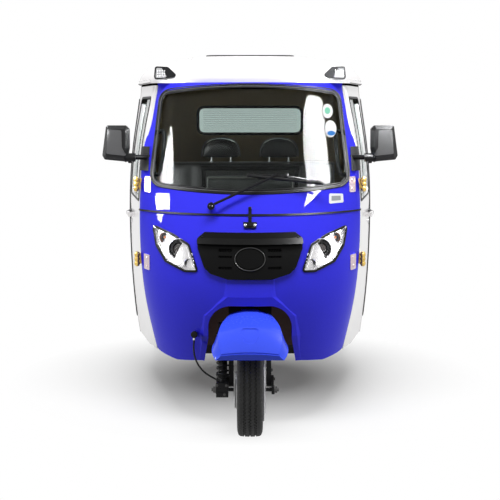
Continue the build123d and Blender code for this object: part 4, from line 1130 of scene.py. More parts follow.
@dataclass
class Windscreen:
    """Pane, rubber lips, filler strip in painted highlight grey, wiper details and blank labels."""

    half_low: float = 0.474
    half_high: float = 0.438
    low: float = 1.092
    high: float = 1.530
    panel_label: tuple = ((0.366, 1.010), (0.438, 1.012), (0.436, 1.052), (0.368, 1.056))
    panel_print: tuple = ((0.378, 1.022), (0.424, 1.023), (0.423, 1.043), (0.379, 1.044))
    pane_thickness: float = 0.005
    spindle: Point = (-0.176, -0.958, 1.010)
    blade_ends: tuple = ((-0.014, -0.905, 1.146), (0.336, -0.850, 1.106))
    blade_steps: int = 28
    claws: tuple = (2, 9, 19, 26)
    bridge: tuple = ((6, 0.010), (10, 0.019), (14, 0.024), (18, 0.019), (22, 0.010))

    def outline(self) -> list[Flat]:
        """Outline of the screen's opening seen from the front.

        Returns:
            Its x and z points.
        """
        corners = ((-self.half_low, self.low), (self.half_low, self.low), (self.half_high, self.high),
                   (-self.half_high, self.high))
        flat = rounded_loop(corners, 0.062, 0.02, 10)
        bowed = []
        for x, z in flat:
            share = (z - self.low) / (self.high - self.low)
            shift = -0.030 + 0.062 * share
            bowed.append((x, z + shift * (1.0 - min(1.0, (x / self.half_low) ** 2))))
        return bowed

    def build(self) -> None:
        """Make the seal's trims, the pane, the wiper's parts and the labels."""
        loop = self.outline()
        lips = bmesh.new()
        bead(lips, [SCREEN_EDGE.front(x, z) for x, z in shrink(loop, -0.002)], 0.008, 0.0028)
        bead(lips, [SCREEN_EDGE.front(x, z) for x, z in shrink(loop, 0.0145)], 0.0055, 0.0022)
        add_piece("screen_seal_lips", lips, RUBBER, sharp=60.0)
        # the filler strip's shape is real; its pale grey is a painted highlight along the seal's middle
        strip = bmesh.new()
        bead(strip, [SCREEN_EDGE.front(x, z) for x, z in shrink(loop, 0.0085)], 0.0026, 0.0012)
        add_piece("screen_filler_strip", strip, FILLER_HIGHLIGHT_GREY, sharp=60.0)
        pane = bmesh.new()
        patch(pane, shrink(loop, -0.006), PANE.front, -0.001, 0.0, 16)
        glass = add_piece("screen_pane", pane, SCREEN, sharp=180.0, replaces=("windscreen_glass",))
        wall = glass.modifiers.new("wall", "SOLIDIFY")
        wall.thickness = self.pane_thickness
        wall.offset = -1.0
        self.wiper()
        self.labels()

    def wiper(self) -> None:
        """Spindle nut, blade, its rubber and claws."""
        hub = bmesh.new()
        at = facing(self.spindle, AHEAD)
        lathe(hub, ((-0.02, 0.017), (0.002, 0.017), (0.006, 0.0155)), at, 28)
        lathe(hub, ((0.004, 0.0095), (0.013, 0.0095), (0.015, 0.0075)), at, 6)
        add_piece("wiper_nut", hub, SATIN_BLACK)
        foot, tip = (Vector(end) for end in self.blade_ends)
        places = []
        for step in range(self.blade_steps + 1):
            share = step / self.blade_steps
            point = foot.lerp(tip, share)
            bow = 4.0 * share * (1 - share)
            place, normal = PANE.front(point.x, point.z + 0.004 * bow)
            places.append((place, normal))
        rubber = bmesh.new()
        tube(rubber, [place + normal * 0.0035 for place, normal in places], 0.0034, 8)
        add_piece("wiper_rubber", rubber, RUBBER)
        spine = bmesh.new()
        tube(spine, [place + normal * 0.0095 for place, normal in places], 0.0042, 8, 0.5)
        for index in self.claws:
            place, normal = places[index]
            block(spine, (0.010, 0.014, 0.014), facing(place + normal * 0.008, normal), 0.002)
        bridge = [places[index][0] + places[index][1] * rise for index, rise in self.bridge]
        tube(spine, smooth_path(bridge, 4), 0.0055, 8, 0.6)
        middle, normal = places[self.blade_steps // 2]
        block(spine, (0.020, 0.020, 0.016), facing(middle + normal * 0.026, normal), 0.004)
        add_piece("wiper_blade", spine, SATIN_BLACK)

    def labels(self) -> None:
        """Blank labels: two round ones on the glass and one on the blue panel below."""
        for name, outline, finish, face, rise in (
                ("label_round_upper", ellipse_loop((0.371, 1.436), 0.027, 0.034), LABEL_WHITE, PANE, 0.0002),
                ("label_round_green", ellipse_loop((0.371, 1.438), 0.014, 0.016), LABEL_GREEN, PANE, 0.0008),
                ("label_round_lower", ellipse_loop((0.384, 1.352), 0.030, 0.040), LABEL_WHITE, PANE, 0.0002),
                ("label_round_blue", ellipse_loop((0.387, 1.331), 0.020, 0.011), LABEL_BLUE, PANE, 0.0008),
                ("label_panel", rounded_loop(self.panel_label, 0.008), LABEL_WHITE, NOSE, 0.0002),
                ("label_panel_grey", rounded_loop(self.panel_print, 0.003), LABEL_GREY, NOSE, 0.0008)):
            build = bmesh.new()
            patch(build, outline, face.front, rise, 0.0005)
            add_piece(name, build, finish)


@dataclass
class BonnetLatch:
    """Bolts, pivot and pull of the rubber latch on the seam."""

    bolt_x: float = 0.0215
    bolt_z: float = 0.928

    def build(self) -> None:
        """Make the latch's trims."""
        bolts = bmesh.new()
        for side in Side:
            screw_head(bolts, *LATCH_FACE.front(side.value * self.bolt_x, self.bolt_z), 0.0068, hexagon=False)
        add_piece("latch_bolts", bolts, SATIN_SILVER)
        pull = bmesh.new()
        for z, width in ((0.944, 0.0150), (0.951, 0.0142), (0.958, 0.0142), (0.982, 0.0135), (0.989, 0.0135)):
            place, normal = LATCH_FACE.front(0.0, z)
            block(pull, (width, 0.0030, 0.0030), facing(place, normal), 0.0010)
        place, normal = LATCH_FACE.front(0.0, 1.000)
        lathe(pull, ((-0.004, 0.0062), (0.003, 0.0062), (0.0048, 0.0040)), facing(place, normal), 20)
        add_piece("latch_pull", pull, RUBBER)


@dataclass
class Mirror:
    """Back panel, knuckle and foot of one door mirror."""

    side: Side
    panel: tuple = ((0.668, 1.351), (0.605, 1.346), (0.604, 1.266), (0.583, 1.226), (0.678, 1.236))
    rim: tuple = ((0.577, 1.346), (0.577, 1.263), (0.589, 1.205), (0.684, 1.215), (0.691, 1.230),
                  (0.673, 1.362), (0.590, 1.362))
    knuckle: Point = (0.571, -0.661, 1.218)

    def build(self) -> None:
        """Make the trims of the mirror's case."""
        word = self.side.word
        face = Surface("mirror_cases")
        plate = bmesh.new()
        patch(plate, rounded_loop(on_side(self.panel, self.side), 0.008, 0.012), face.front, -0.0005, 0.0026)
        add_piece("mirror_back_" + word, plate, MIRROR_GREY)
        rim = bmesh.new()
        loop = rounded_loop(on_side(self.rim, self.side), 0.012, 0.010)
        bead(rim, [face.hit((x, 0.0, z), AHEAD) for x, z in loop], 0.004, 0.0015)
        add_piece("mirror_bezel_" + word, rim, GREY_PLASTIC)
        joint = bmesh.new()
        knuckle_x, knuckle_y, knuckle_z = self.knuckle
        for offset in (-0.018, 0.018):
            at = facing((self.side.value * (knuckle_x + offset), knuckle_y, knuckle_z), self.side.out)
            lathe(joint, ((-0.004, 0.0215), (-0.003, 0.0228), (0.003, 0.0228), (0.004, 0.0215)), at, 32)
        screw_head(joint, self.side.at(knuckle_x, knuckle_y, knuckle_z - 0.020),
                   DOWN, 0.010)
        add_piece("mirror_knuckle_" + word, joint, SATIN_BLACK)


# ---------------------------------------------------------------- wheels and steering

AXLE_Z = 0.207
FRONT_AXLE_Y = -1.130
REAR_AXLE_Y = 0.820
TRACK_HALF = 0.538
CASTER = math.radians(25.0)


def steering_frame(station: float) -> Matrix:
    """Matrix on the steering axis: +Z up the axis, +Y back and down.

    Args:
        station: distance up the axis from the front axle.

    Returns:
        The matrix.
    """
    up = Vector((0.0, math.sin(CASTER), math.cos(CASTER)))
    back = Vector((0.0, math.cos(CASTER), -math.sin(CASTER)))
    turn = Matrix((Vector((1.0, 0.0, 0.0)), back, up)).transposed().to_4x4()
    return Matrix.Translation(Vector((0.0, FRONT_AXLE_Y, AXLE_Z)) + up * station) @ turn


@dataclass
class Tyre:
    """Rib tread tyre with zigzag grooves, sipes and shoulder notches."""

    name: str
    node: str
    body: str
    middle: Point
    pitches: int = 72
    radius: float = 0.207
    half: float = 0.057
    bead_half: float = 0.044
    bead_radius: float = 0.1045
    groove: float = 0.0052
    zigzag: float = 0.0022

    def crown(self, phase: int) -> list[Flat]:
        """Section points from one shoulder across the tread to the other.

        Args:
            phase: which quarter of a pitch this ring is in.

        Returns:
            The x and the radius of each point.
        """
        shift = self.zigzag if phase in (0, 1) else -self.zigzag
        sipe = 0.0022 if phase == 3 else 0.0
        notch = 0.0050 if phase == 1 else 0.0
        points = []
        for line in (-0.024, 0.0, 0.024):
            low, high = line - 0.0042 + shift, line + 0.0042 + shift
            points += [(low - 0.0006, 0.0), (low + 0.0008, self.groove), (high - 0.0008, self.groove),
                       (high + 0.0006, 0.0)]
        ribs = [(-0.0425, 0.0004 + notch * 0.5), (-0.036, sipe)] + points[:4] + [(-0.012, sipe)] + points[4:8]
        ribs += [(0.012, sipe)] + points[8:] + [(0.036, sipe), (0.0425, 0.0004 + notch * 0.5)]
        section = []
        for x, sink in ribs:
            drop = 0.0024 * (x / 0.041) ** 2
            section.append((x, self.radius - 0.0003 - drop - sink))
        outer = [(0.0500, self.radius - 0.0085 - notch), (0.0528, self.radius - 0.0145 - notch * 0.6),
                 (0.0540, self.radius - 0.020), (0.0552, self.radius - 0.0215), (0.0566, 0.172),
                 (0.0569, 0.160), (0.0562, 0.148), (0.0569, 0.1465), (0.0560, 0.1445), (0.0535, 0.132),
                 (0.0500, 0.122),
                 (0.0510, 0.1205), (0.0485, 0.1165), (0.0445, 0.1150), (self.bead_half, self.bead_radius)]
        return [(-x, reach) for x, reach in reversed(outer)] + section + outer

    def build(self) -> None:
        """Make the tyre as one closed ring of sections."""
        build = bmesh.new()
        count = self.pitches * 4
        rings = []
        for index in range(count):
            turn = math.tau * index / count
            rings.append([Vector((x, reach * math.cos(turn), reach * math.sin(turn))) + Vector(self.middle)
                          for x, reach in self.crown(index % 4)])
        skin_rings(build, rings, joined=True)
        add_piece(self.name, build, TYRE, self.body, 28.0, (self.node,))


@dataclass
class Wheel:
    """Nuts, valve and rolled edges of a wheel."""

    name: str
    body: str
    middle: Point
    face: float
    outward: float

    def at(self, offset: float, turn: float = 0.0, reach: float = 0.0) -> Matrix:
        """Matrix at an offset along the axle, a turn round it and a reach from it, +Z outwards."""
        across = Vector((self.outward * offset, reach * math.cos(turn), reach * math.sin(turn)))
        return facing(Vector(self.middle) + across, (self.outward, 0.0, 0.0))

    def build(self) -> None:
        """Make the wheel's fittings."""
        nuts = bmesh.new()
        for index in range(4):
            turn = math.tau * (index + 0.5) / 4
            at = self.at(self.face + 0.0005, turn, 0.058)
            lathe(nuts, ((-0.001, 0.0125), (0.0016, 0.0125), (0.002, 0.0118)), at, 24)
            lathe(nuts, ((0.0016, 0.0088), (0.0105, 0.0088), (0.012, 0.0074)), at, 6)
            lathe(nuts, ((0.011, 0.0048), (0.017, 0.0048), (0.018, 0.0040)), at, 14)
        add_piece(self.name + "_nuts", nuts, SATIN_SILVER, self.body)
        valve = bmesh.new()
        at = self.at(self.face - 0.002, 0.3, 0.088)
        lathe(valve, ((-0.004, 0.006), (0.006, 0.0052), (0.010, 0.0042), (0.024, 0.0038), (0.026, 0.0046),
                      (0.036, 0.0046), (0.038, 0.0030)), at, 16)
        add_piece(self.name + "_valve", valve, RUBBER, self.body)
        beads = bmesh.new()
        for radius, wide, offset in ((0.0905, 0.0022, self.face), (0.1130, 0.0016, 0.0478)):
            profile = arc(0.0, wide, radius, wide, range(0, 360, 45))
            lathe(beads, profile + profile[:1], self.at(offset), 96, capped=False)
        add_piece(self.name + "_rolled_edges", beads, RIM, self.body)


@dataclass
class RearWheel(Wheel):
    """Rear wheel with a dust cap and a finned drum behind the disc."""

    def build(self) -> None:
        """Make the fittings of a rear wheel."""
        super().build()
        cap = bmesh.new()
        lathe(cap, ((0.030, 0.0335), (0.0545, 0.0335), (0.0575, 0.0310), (0.0590, 0.0240), (0.0600, 0.0010)),
              self.at(0.0), 40)
        add_piece(self.name + "_cap", cap, SATIN_SILVER, self.body)
        drum = bmesh.new()
        profile = [(-0.060, 0.030), (-0.060, 0.086)]
        for index in range(4):
            start = -0.057 + 0.012 * index
            profile += [(start, 0.092), (start + 0.005, 0.092), (start + 0.006, 0.086),
                        (start + 0.011, 0.086)]
        profile += [(-0.004, 0.083), (0.004, 0.070), (0.006, 0.036)]
        lathe(drum, profile, self.at(0.0), 64)
        add_piece(self.name + "_drum", drum, CAST_IRON, self.body)


@dataclass
class FrontFork:
    """Axle nuts, spring, brake and the wheel's bright dish, round the front axle."""

    plate_x: float = 0.096
    plate_bolts: tuple = ((-1.004, 0.226), (-1.008, 0.268), (-1.000, 0.330))
    axle_reach: tuple = ((Side.LEFT, 0.107), (Side.RIGHT, 0.150))
    spring_foot: Point = (-0.122, -1.092, 0.253)
    spring_head: Point = (-0.122, -1.018, 0.440)
    dish_x: float = 0.0575
    drum_x: float = -0.0610
    hose_end: Point = (-0.147, -1.130, 0.252)
    carrier: tuple = (((-0.125, -1.168, 0.236), (0.052, 0.010, 0.022)),
                      ((-0.125, -1.171, 0.196), (0.046, 0.008, 0.016)))
    carrier_bolts: tuple = ((-0.104, -1.1725, 0.236), (-0.146, -1.1725, 0.236), (-0.112, -1.175, 0.196))

    def build(self) -> None:
        """Make the fork's fittings."""
        self.axle_ends()
        self.spring()
        self.brake()
        self.dish()

    def dish(self) -> None:
        """Bright dish on the open side of the wheel."""
        dish = bmesh.new()
        at = facing((self.dish_x, FRONT_AXLE_Y, AXLE_Z), (1.0, 0.0, 0.0))
        lathe(dish, ((0.000, 0.138), (0.003, 0.140), (0.006, 0.137), (0.008, 0.112), (0.011, 0.104),
                     (0.012, 0.050), (0.004, 0.046)), at, 72, capped=False)
        add_piece("front_wheel_dish", dish, RIM, "front_wheel")

    def axle_ends(self) -> None:
        """Nuts and washers at both ends of the axle."""
        ends = bmesh.new()
        for side, reach in self.axle_reach:
            at = facing((side.value * reach, FRONT_AXLE_Y, AXLE_Z), side.out)
            lathe(ends, ((-0.001, 0.0190), (0.0022, 0.0190), (0.003, 0.0180)), at, 32)
            lathe(ends, ((0.0025, 0.0145), (0.0125, 0.0145), (0.014, 0.0125)), at, 6)
            lathe(ends, ((0.012, 0.0078), (0.020, 0.0078), (0.0215, 0.0064)), at, 20)
        add_piece("front_axle_nuts", ends, CAST_IRON, "steering")
        bolts = bmesh.new()
        for side in Side:
            for y, z in self.plate_bolts:
                place = side.at(self.plate_x, y, z)
                if side is Side.LEFT or z > 0.3:
                    screw_head(bolts, place + Vector((side.value * 0.011 * (z < 0.25), 0.0, 0.0)),
                               side.out, 0.0095)
        add_piece("fork_bolts", bolts, CAST_IRON, "steering")

    def spring(self) -> None:
        """Coil spring and its seats round the damper."""
        low, high = Vector(self.spring_foot), Vector(self.spring_head)
        wound = bmesh.new()
        coil(wound, low.lerp(high, 0.10), low.lerp(high, 0.97), 0.0265, 0.0038, 7.5)
        add_piece("front_spring", wound, SATIN_BLACK, "steering", sharp=60.0)
        seats = bmesh.new()
        for share in (0.06, 0.98):
            at = facing(low.lerp(high, share), high - low)
            lathe(seats, ((-0.004, 0.022), (-0.004, 0.031), (0.001, 0.0325), (0.003, 0.031), (0.003, 0.022)),
                  at, 36)
        add_piece("front_spring_seats", seats, SATIN_BLACK, "steering")

    def brake(self) -> None:
        """Drum, finned lever and banjo bolt on the brake's side."""
        drum = bmesh.new()
        at = facing((self.drum_x, FRONT_AXLE_Y, AXLE_Z), (-1.0, 0.0, 0.0))
        lathe(drum, ((-0.010, 0.030), (-0.010, 0.078), (-0.004, 0.084), (0.000, 0.084), (0.003, 0.079),
                     (0.006, 0.084), (0.009, 0.079), (0.0105, 0.060), (0.0105, 0.024)), at, 64)
        add_piece("front_brake_drum", drum, ALUMINIUM, "front_wheel")
        carrier = bmesh.new()
        for place, size in self.carrier:
            block(carrier, size, Matrix.Translation(place), 0.003)
        add_piece("front_brake_carrier", carrier, SATIN_BLACK, "steering")
        banjo = bmesh.new()
        end = Vector(self.hose_end)
        lathe(banjo, ((-0.006, 0.0095), (0.006, 0.0095), (0.0075, 0.0080)),
              facing(end + Vector((0.012, 0, -0.004)), (0.937, 0.0, -0.35)), 6)
        for place in self.carrier_bolts:
            screw_head(banjo, Vector(place), AHEAD, 0.0065)
        add_piece("front_brake_bolts", banjo, CAST_IRON, "steering")


@dataclass
class Handlebar:
    """Ribbed grips, levers, switch boxes and clamp bolts."""

    station: float = 0.868
    setback: float = 0.200
    grip_x: float = 0.156
    box_x: float = 0.138
    box_size: Point = (0.034, 0.042, 0.044)
    ribs: int = 14
    rib_pitch: float = 0.0076
    lever: tuple = ((0.134, 0.172, 0.004), (0.160, 0.160, 0.004), (0.200, 0.155, 0.002),
                    (0.240, 0.158, 0.0), (0.258, 0.162, -0.001))
    clamp_bolts: tuple = ((-0.030, -0.021), (0.030, -0.021), (-0.030, 0.021), (0.030, 0.021))

    def build(self) -> None:
        """Make the handlebar's fittings."""
        base = steering_frame(self.station)
        grips = bmesh.new()
        metal = bmesh.new()
        boxes = bmesh.new()
        for side in Side:
            across = Matrix.Rotation(side.value * math.pi / 2, 4, "Y")
            at = base @ Matrix.Translation((side.value * self.grip_x, self.setback, 0.0)) @ across
            profile = [(0.0, 0.0178), (0.001, 0.0205)]
            for index in range(self.ribs):
                start = 0.006 + self.rib_pitch * index
                profile += [(start, 0.0186), (start + 0.0012, 0.0174), (start + 0.0028, 0.0174),
                            (start + 0.004, 0.0186)]
            profile += [(0.113, 0.0186), (0.1145, 0.0200), (0.118, 0.0195), (0.1195, 0.012)]
            lathe(grips, profile, at, 36)
            place = base @ Matrix.Translation((side.value * self.box_x, self.setback - 0.002, 0.0))
            block(boxes, self.box_size, place, 0.007)
            path = smooth_path([base @ side.at(x, back, up) for x, back, up in self.lever], 5)
            tube(metal, path, [0.0052] * (len(path) - 1) + [0.0064], 10, 0.8)
        for x, back in self.clamp_bolts:
            top = base @ Vector((x, back, 0.0185))
            screw_head(metal, top, base.to_3x3() @ UP, 0.0070)
        add_piece("handlebar_grips", grips, RUBBER, "steering", sharp=25.0)
        add_piece("handlebar_levers", metal, SATIN_SILVER, "steering")
        add_piece("handlebar_switch_boxes", boxes, PLASTIC, "steering")


@dataclass
class BrakeHose:
    """Hose from the boss in the nose down to the front brake."""

    route: tuple = ((-0.252, -1.016, 0.418), (-0.256, -1.024, 0.374), (-0.248, -1.052, 0.330),
                    (-0.222, -1.084, 0.292), (-0.185, -1.112, 0.266), (-0.147, -1.130, 0.252))
    radius: float = 0.004
    boss: Flat = (-0.252, 0.434)

    def points(self) -> list[Vector]:
        """Read the hose's middle line from a spline through its route.

        Returns:
            The line's points.
        """
        data = bpy.data.curves.new("brake_hose_line", "CURVE")
        data.dimensions = "3D"
        data.resolution_u = 16
        spline = data.splines.new("NURBS")
        spline.points.add(len(self.route) - 1)
        for point, place in zip(spline.points, self.route):
            point.co = (*place, 1.0)
        spline.order_u = 3
        spline.use_endpoint_u = True
        line = link("brake_hose_line", data)
        bpy.context.view_layer.update()
        mesh = bpy.data.meshes.new_from_object(line.evaluated_get(bpy.context.evaluated_depsgraph_get()))
        places = [vertex.co.copy() for vertex in mesh.vertices]
        bpy.data.meshes.remove(mesh)
        bpy.data.objects.remove(line)
        return places

    def build(self) -> None:
        """Make the hose, one ferrule at its upper end and the round grommet."""
        places = self.points()
        build = bmesh.new()
        tube(build, places, self.radius, 16)
        mesh = as_mesh(build, "brake_hose_tube")
        mesh.shade_smooth()
        mesh.materials.append(RUBBER.material())
        hose = link("brake_hose_tube", mesh)
        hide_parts("brake_hose")
        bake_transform(hose)
        grommet = bmesh.new()
        place, normal = NOSE.front(*self.boss)
        lathe(grommet, ((-0.004, 0.0150), (0.001, 0.0158), (0.0035, 0.0140), (0.0045, 0.0105)),
              facing(place, normal), 32)
        add_piece("hose_grommet", grommet, RUBBER)
        ferrule = bmesh.new()
        lathe(ferrule, ((-0.010, 0.0062), (0.004, 0.0062), (0.0055, 0.0050)),
              facing(places[0], places[0] - places[1]), 20)
        add_piece("hose_ferrule", ferrule, SATIN_SILVER)


# ---------------------------------------------------------------- cabin


@dataclass
class Cushion:
    """Padded piece blown up as cloth from its solid, held down along its seams."""

    name: str
    node: Optional[str]
    voxel: float
    cap: float
    held: Callable[[Vector], bool]
    finish: Finish = VINYL
    fill: float = 0.7
    loop: tuple = ()
    depth: tuple = (0.0, 0.0)
    replaces: tuple = ()
    frames: int = 20

    def start_mesh(self) -> bpy.types.Mesh:
        """Make the solid that the cushion starts from.

        Returns:
            A copy of its node's mesh, or its loop between two depths.
        """
        if not self.loop:
            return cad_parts[self.node].data.copy()
        build = bmesh.new()
        prism(build, self.loop, *self.depth)
        return as_mesh(build, self.name)

    def build(self) -> bpy.types.Object:
        """Remesh, blow up, cap the movement and subdivide once.

        Returns:
            The cushion.
        """
        rough = link(self.name + "_start", self.start_mesh())
        remesh = rough.modifiers.new("remesh", "REMESH")
        remesh.mode = "VOXEL"
        remesh.voxel_size = self.voxel
        bpy.context.view_layer.update()
        graph = bpy.context.evaluated_depsgraph_get()
        mesh = bpy.data.meshes.new_from_object(rough.evaluated_get(graph))
        bpy.data.objects.remove(rough)
        mesh.materials.clear()
        mesh.materials.append(self.finish.material())
        piece = link(self.name, mesh)
        self.blow_up(piece)
        mesh.shade_smooth()
        soften = piece.modifiers.new("soften", "SUBSURF")
        soften.levels = 1
        soften.render_levels = 1
        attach(piece, "chassis")
        if self.replaces:
            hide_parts(*self.replaces)
        return piece

    def blow_up(self, piece: bpy.types.Object) -> None:
        """Run the cloth under pressure and keep the result within the cap.

        Args:
            piece: the remeshed cushion.
        """
        mesh = piece.data
        group = piece.vertex_groups.new(name="held")
        group.add([vertex.index for vertex in mesh.vertices if self.held(vertex.co)], 1.0, "REPLACE")
        cloth = piece.modifiers.new("cloth", "CLOTH")
        cloth.settings.use_pressure = True
        cloth.settings.uniform_pressure_force = 4.0
        cloth.settings.effector_weights.gravity = 0.0
        cloth.settings.mass = 0.3
        cloth.settings.vertex_group_mass = "held"
        cloth.point_cache.frame_start = 1
        cloth.point_cache.frame_end = self.frames
        scene = bpy.context.scene
        for number in range(1, self.frames + 1):
            scene.frame_set(number)
        graph = bpy.context.evaluated_depsgraph_get()
        blown = bpy.data.meshes.new_from_object(piece.evaluated_get(graph))
        greatest = 0.0
        for vertex, moved in zip(mesh.vertices, blown.vertices):
            shift = moved.co - vertex.co
            greatest = max(greatest, shift.length)
            if shift.length > self.cap:
                shift = shift.normalized() * self.cap
            vertex.co += shift
        LOG.info("%s: moved up to %.1f mm", self.name, 1000 * greatest)
        bpy.data.meshes.remove(blown)
        piece.modifiers.remove(cloth)
        scene.frame_set(1)


def near(value: float, places: Sequence[float], reach: float) -> bool:
    """Whether a value is within reach of one of some places."""
    return any(abs(value - place) < reach for place in places)


@dataclass
class Seats:
    """Driver's seat, passenger bench and headrests, with their piping."""

    flutes: tuple = (-0.118, 0.0, 0.118)
    bench_flutes: tuple = (-0.36, -0.24, -0.12, 0.0, 0.12, 0.24, 0.36)
    headrest_faces: tuple = (1.004, 1.060)
    headrest_x: Flat = (-0.180, 0.180)
    half_arch: tuple = ((0.050, 1.262), (0.088, 1.243), (0.110, 1.205), (0.115, 1.152))
    arch_top: Flat = (0.0, 1.268)
    post: tuple = ((0.0, 0.0130), (0.006, 0.0130), (0.008, 0.0060), (0.044, 0.0060))
    piping_radius: float = 0.0036
    cushion_edges: tuple = ((0.235, -0.140, 0.190, 0.672), (0.520, 0.530, 0.930, 0.706))
    back_edges: tuple = ((0.235, ((0.141, 0.728), (0.154, 1.062), (0.160, 1.074))),
                         (0.520, ((0.923, 0.750), (0.984, 1.106), (0.990, 1.118))))

    def build(self) -> None:
        """Make all the seats' soft pieces and their piping."""
        for name, node, voxel, cap, held in (
                ("driver_cushion", "driver_cushion", 0.0115, 0.012, self.held_driver_seat),
                ("driver_back", "driver_backrest", 0.0110, 0.011, self.held_driver_back),
                ("bench_cushion", "bench_cushion", 0.0160, 0.016, self.held_bench),
                ("bench_back", "bench_backrest", 0.0150, 0.014, self.held_bench_back)):
            Cushion("seat_" + name, node, voxel, cap, held, replaces=(node,)).build()
        self.headrests()
        self.piping()

    def held_driver_seat(self, place: Vector) -> bool:
        """Whether a point of the driver's cushion is held."""
        return place.z < 0.602 or near(place.z, (0.672,), 0.006) or (
            place.z > 0.69 and near(place.x, self.flutes, 0.006))

    def held_driver_back(self, place: Vector) -> bool:
        """Whether a point of the driver's backrest is held.

        Args:
            place: the point.

        Returns:
            True where the point stays where it is.
        """
        lean = 0.138 + (place.z - 0.725) * 0.05
        return place.y > lean + 0.055 or near(abs(place.x), (0.235,), 0.004) or (
            place.y < lean + 0.010 and near(place.x, self.flutes, 0.0055))

    def held_bench(self, place: Vector) -> bool:
        """Whether a point of the bench's cushion is held."""
        return place.z < 0.610 or near(place.z, (0.706,), 0.008) or (
            place.z > 0.73 and near(place.x, self.bench_flutes, 0.0085))

    def held_bench_back(self, place: Vector) -> bool:
        """Whether a point of the bench's backrest is held.

        Args:
            place: the point.

        Returns:
            True where the point stays where it is.
        """
        lean = 0.920 + (place.z - 0.746) * 0.17
        return place.y > lean + 0.065 or near(abs(place.x), (0.520,), 0.006) or (
            place.y < lean + 0.014 and near(place.x, self.bench_flutes, 0.008))

    def held_headrest(self, place: Vector) -> bool:
        """Whether a point of a headrest is held."""
        return near(place.y, self.headrest_faces, 0.0045) and place.z < 1.165

    def headrests(self) -> None:
        """Arch shaped pads on chromed posts."""
        posts = bmesh.new()
        arch = [(-x, z) for x, z in reversed(self.half_arch)] + [self.arch_top, *self.half_arch]
        for index, middle in enumerate(self.headrest_x):
            loop = tuple((middle + x, z) for x, z in reversed(arch))
            Cushion(f"seat_headrest_{index + 1}", None, 0.0090, 0.009, self.held_headrest, VINYL, 0.8, loop,
                    self.headrest_faces, ("headrests",) if index == 0 else ()).build()
            for x in (middle - 0.060, middle + 0.060):
                lathe(posts, self.post, facing((x, 1.030, 1.122), UP), 20)
            edge = [(middle + x * 1.03, 1.001, z + 0.003) for x, z in arch]
            trim = bmesh.new()
            tube(trim, smooth_path(edge, 5), 0.0032, 8)
            add_piece(f"seat_headrest_piping_{index + 1}", trim, PIPING)
        add_piece("seat_headrest_posts", posts, CHROME)

    def piping(self) -> None:
        """Piping round the cushions' top edges and up the backrests."""
        build = bmesh.new()
        for half, front, rear, z in self.cushion_edges:
            loop = rounded_loop(((-half, front), (half, front), (half, rear), (-half, rear)), 0.012, 0.03, 5)
            path = [Vector((x, y, z)) for x, y in loop + loop[:1]]
            tube(build, path, self.piping_radius, 8)
        for half, points in self.back_edges:
            for side in (-1.0, 1.0):
                tube(build, [Vector((side * (half - 0.002), y, z)) for y, z in points], self.piping_radius, 8)
            y, z = points[-1]
            top = [Vector((x, y, z)) for x in (-half + 0.002, 0.0, half - 0.002)]
            tube(build, top, self.piping_radius, 8)
        add_piece("seat_piping", build, PIPING)


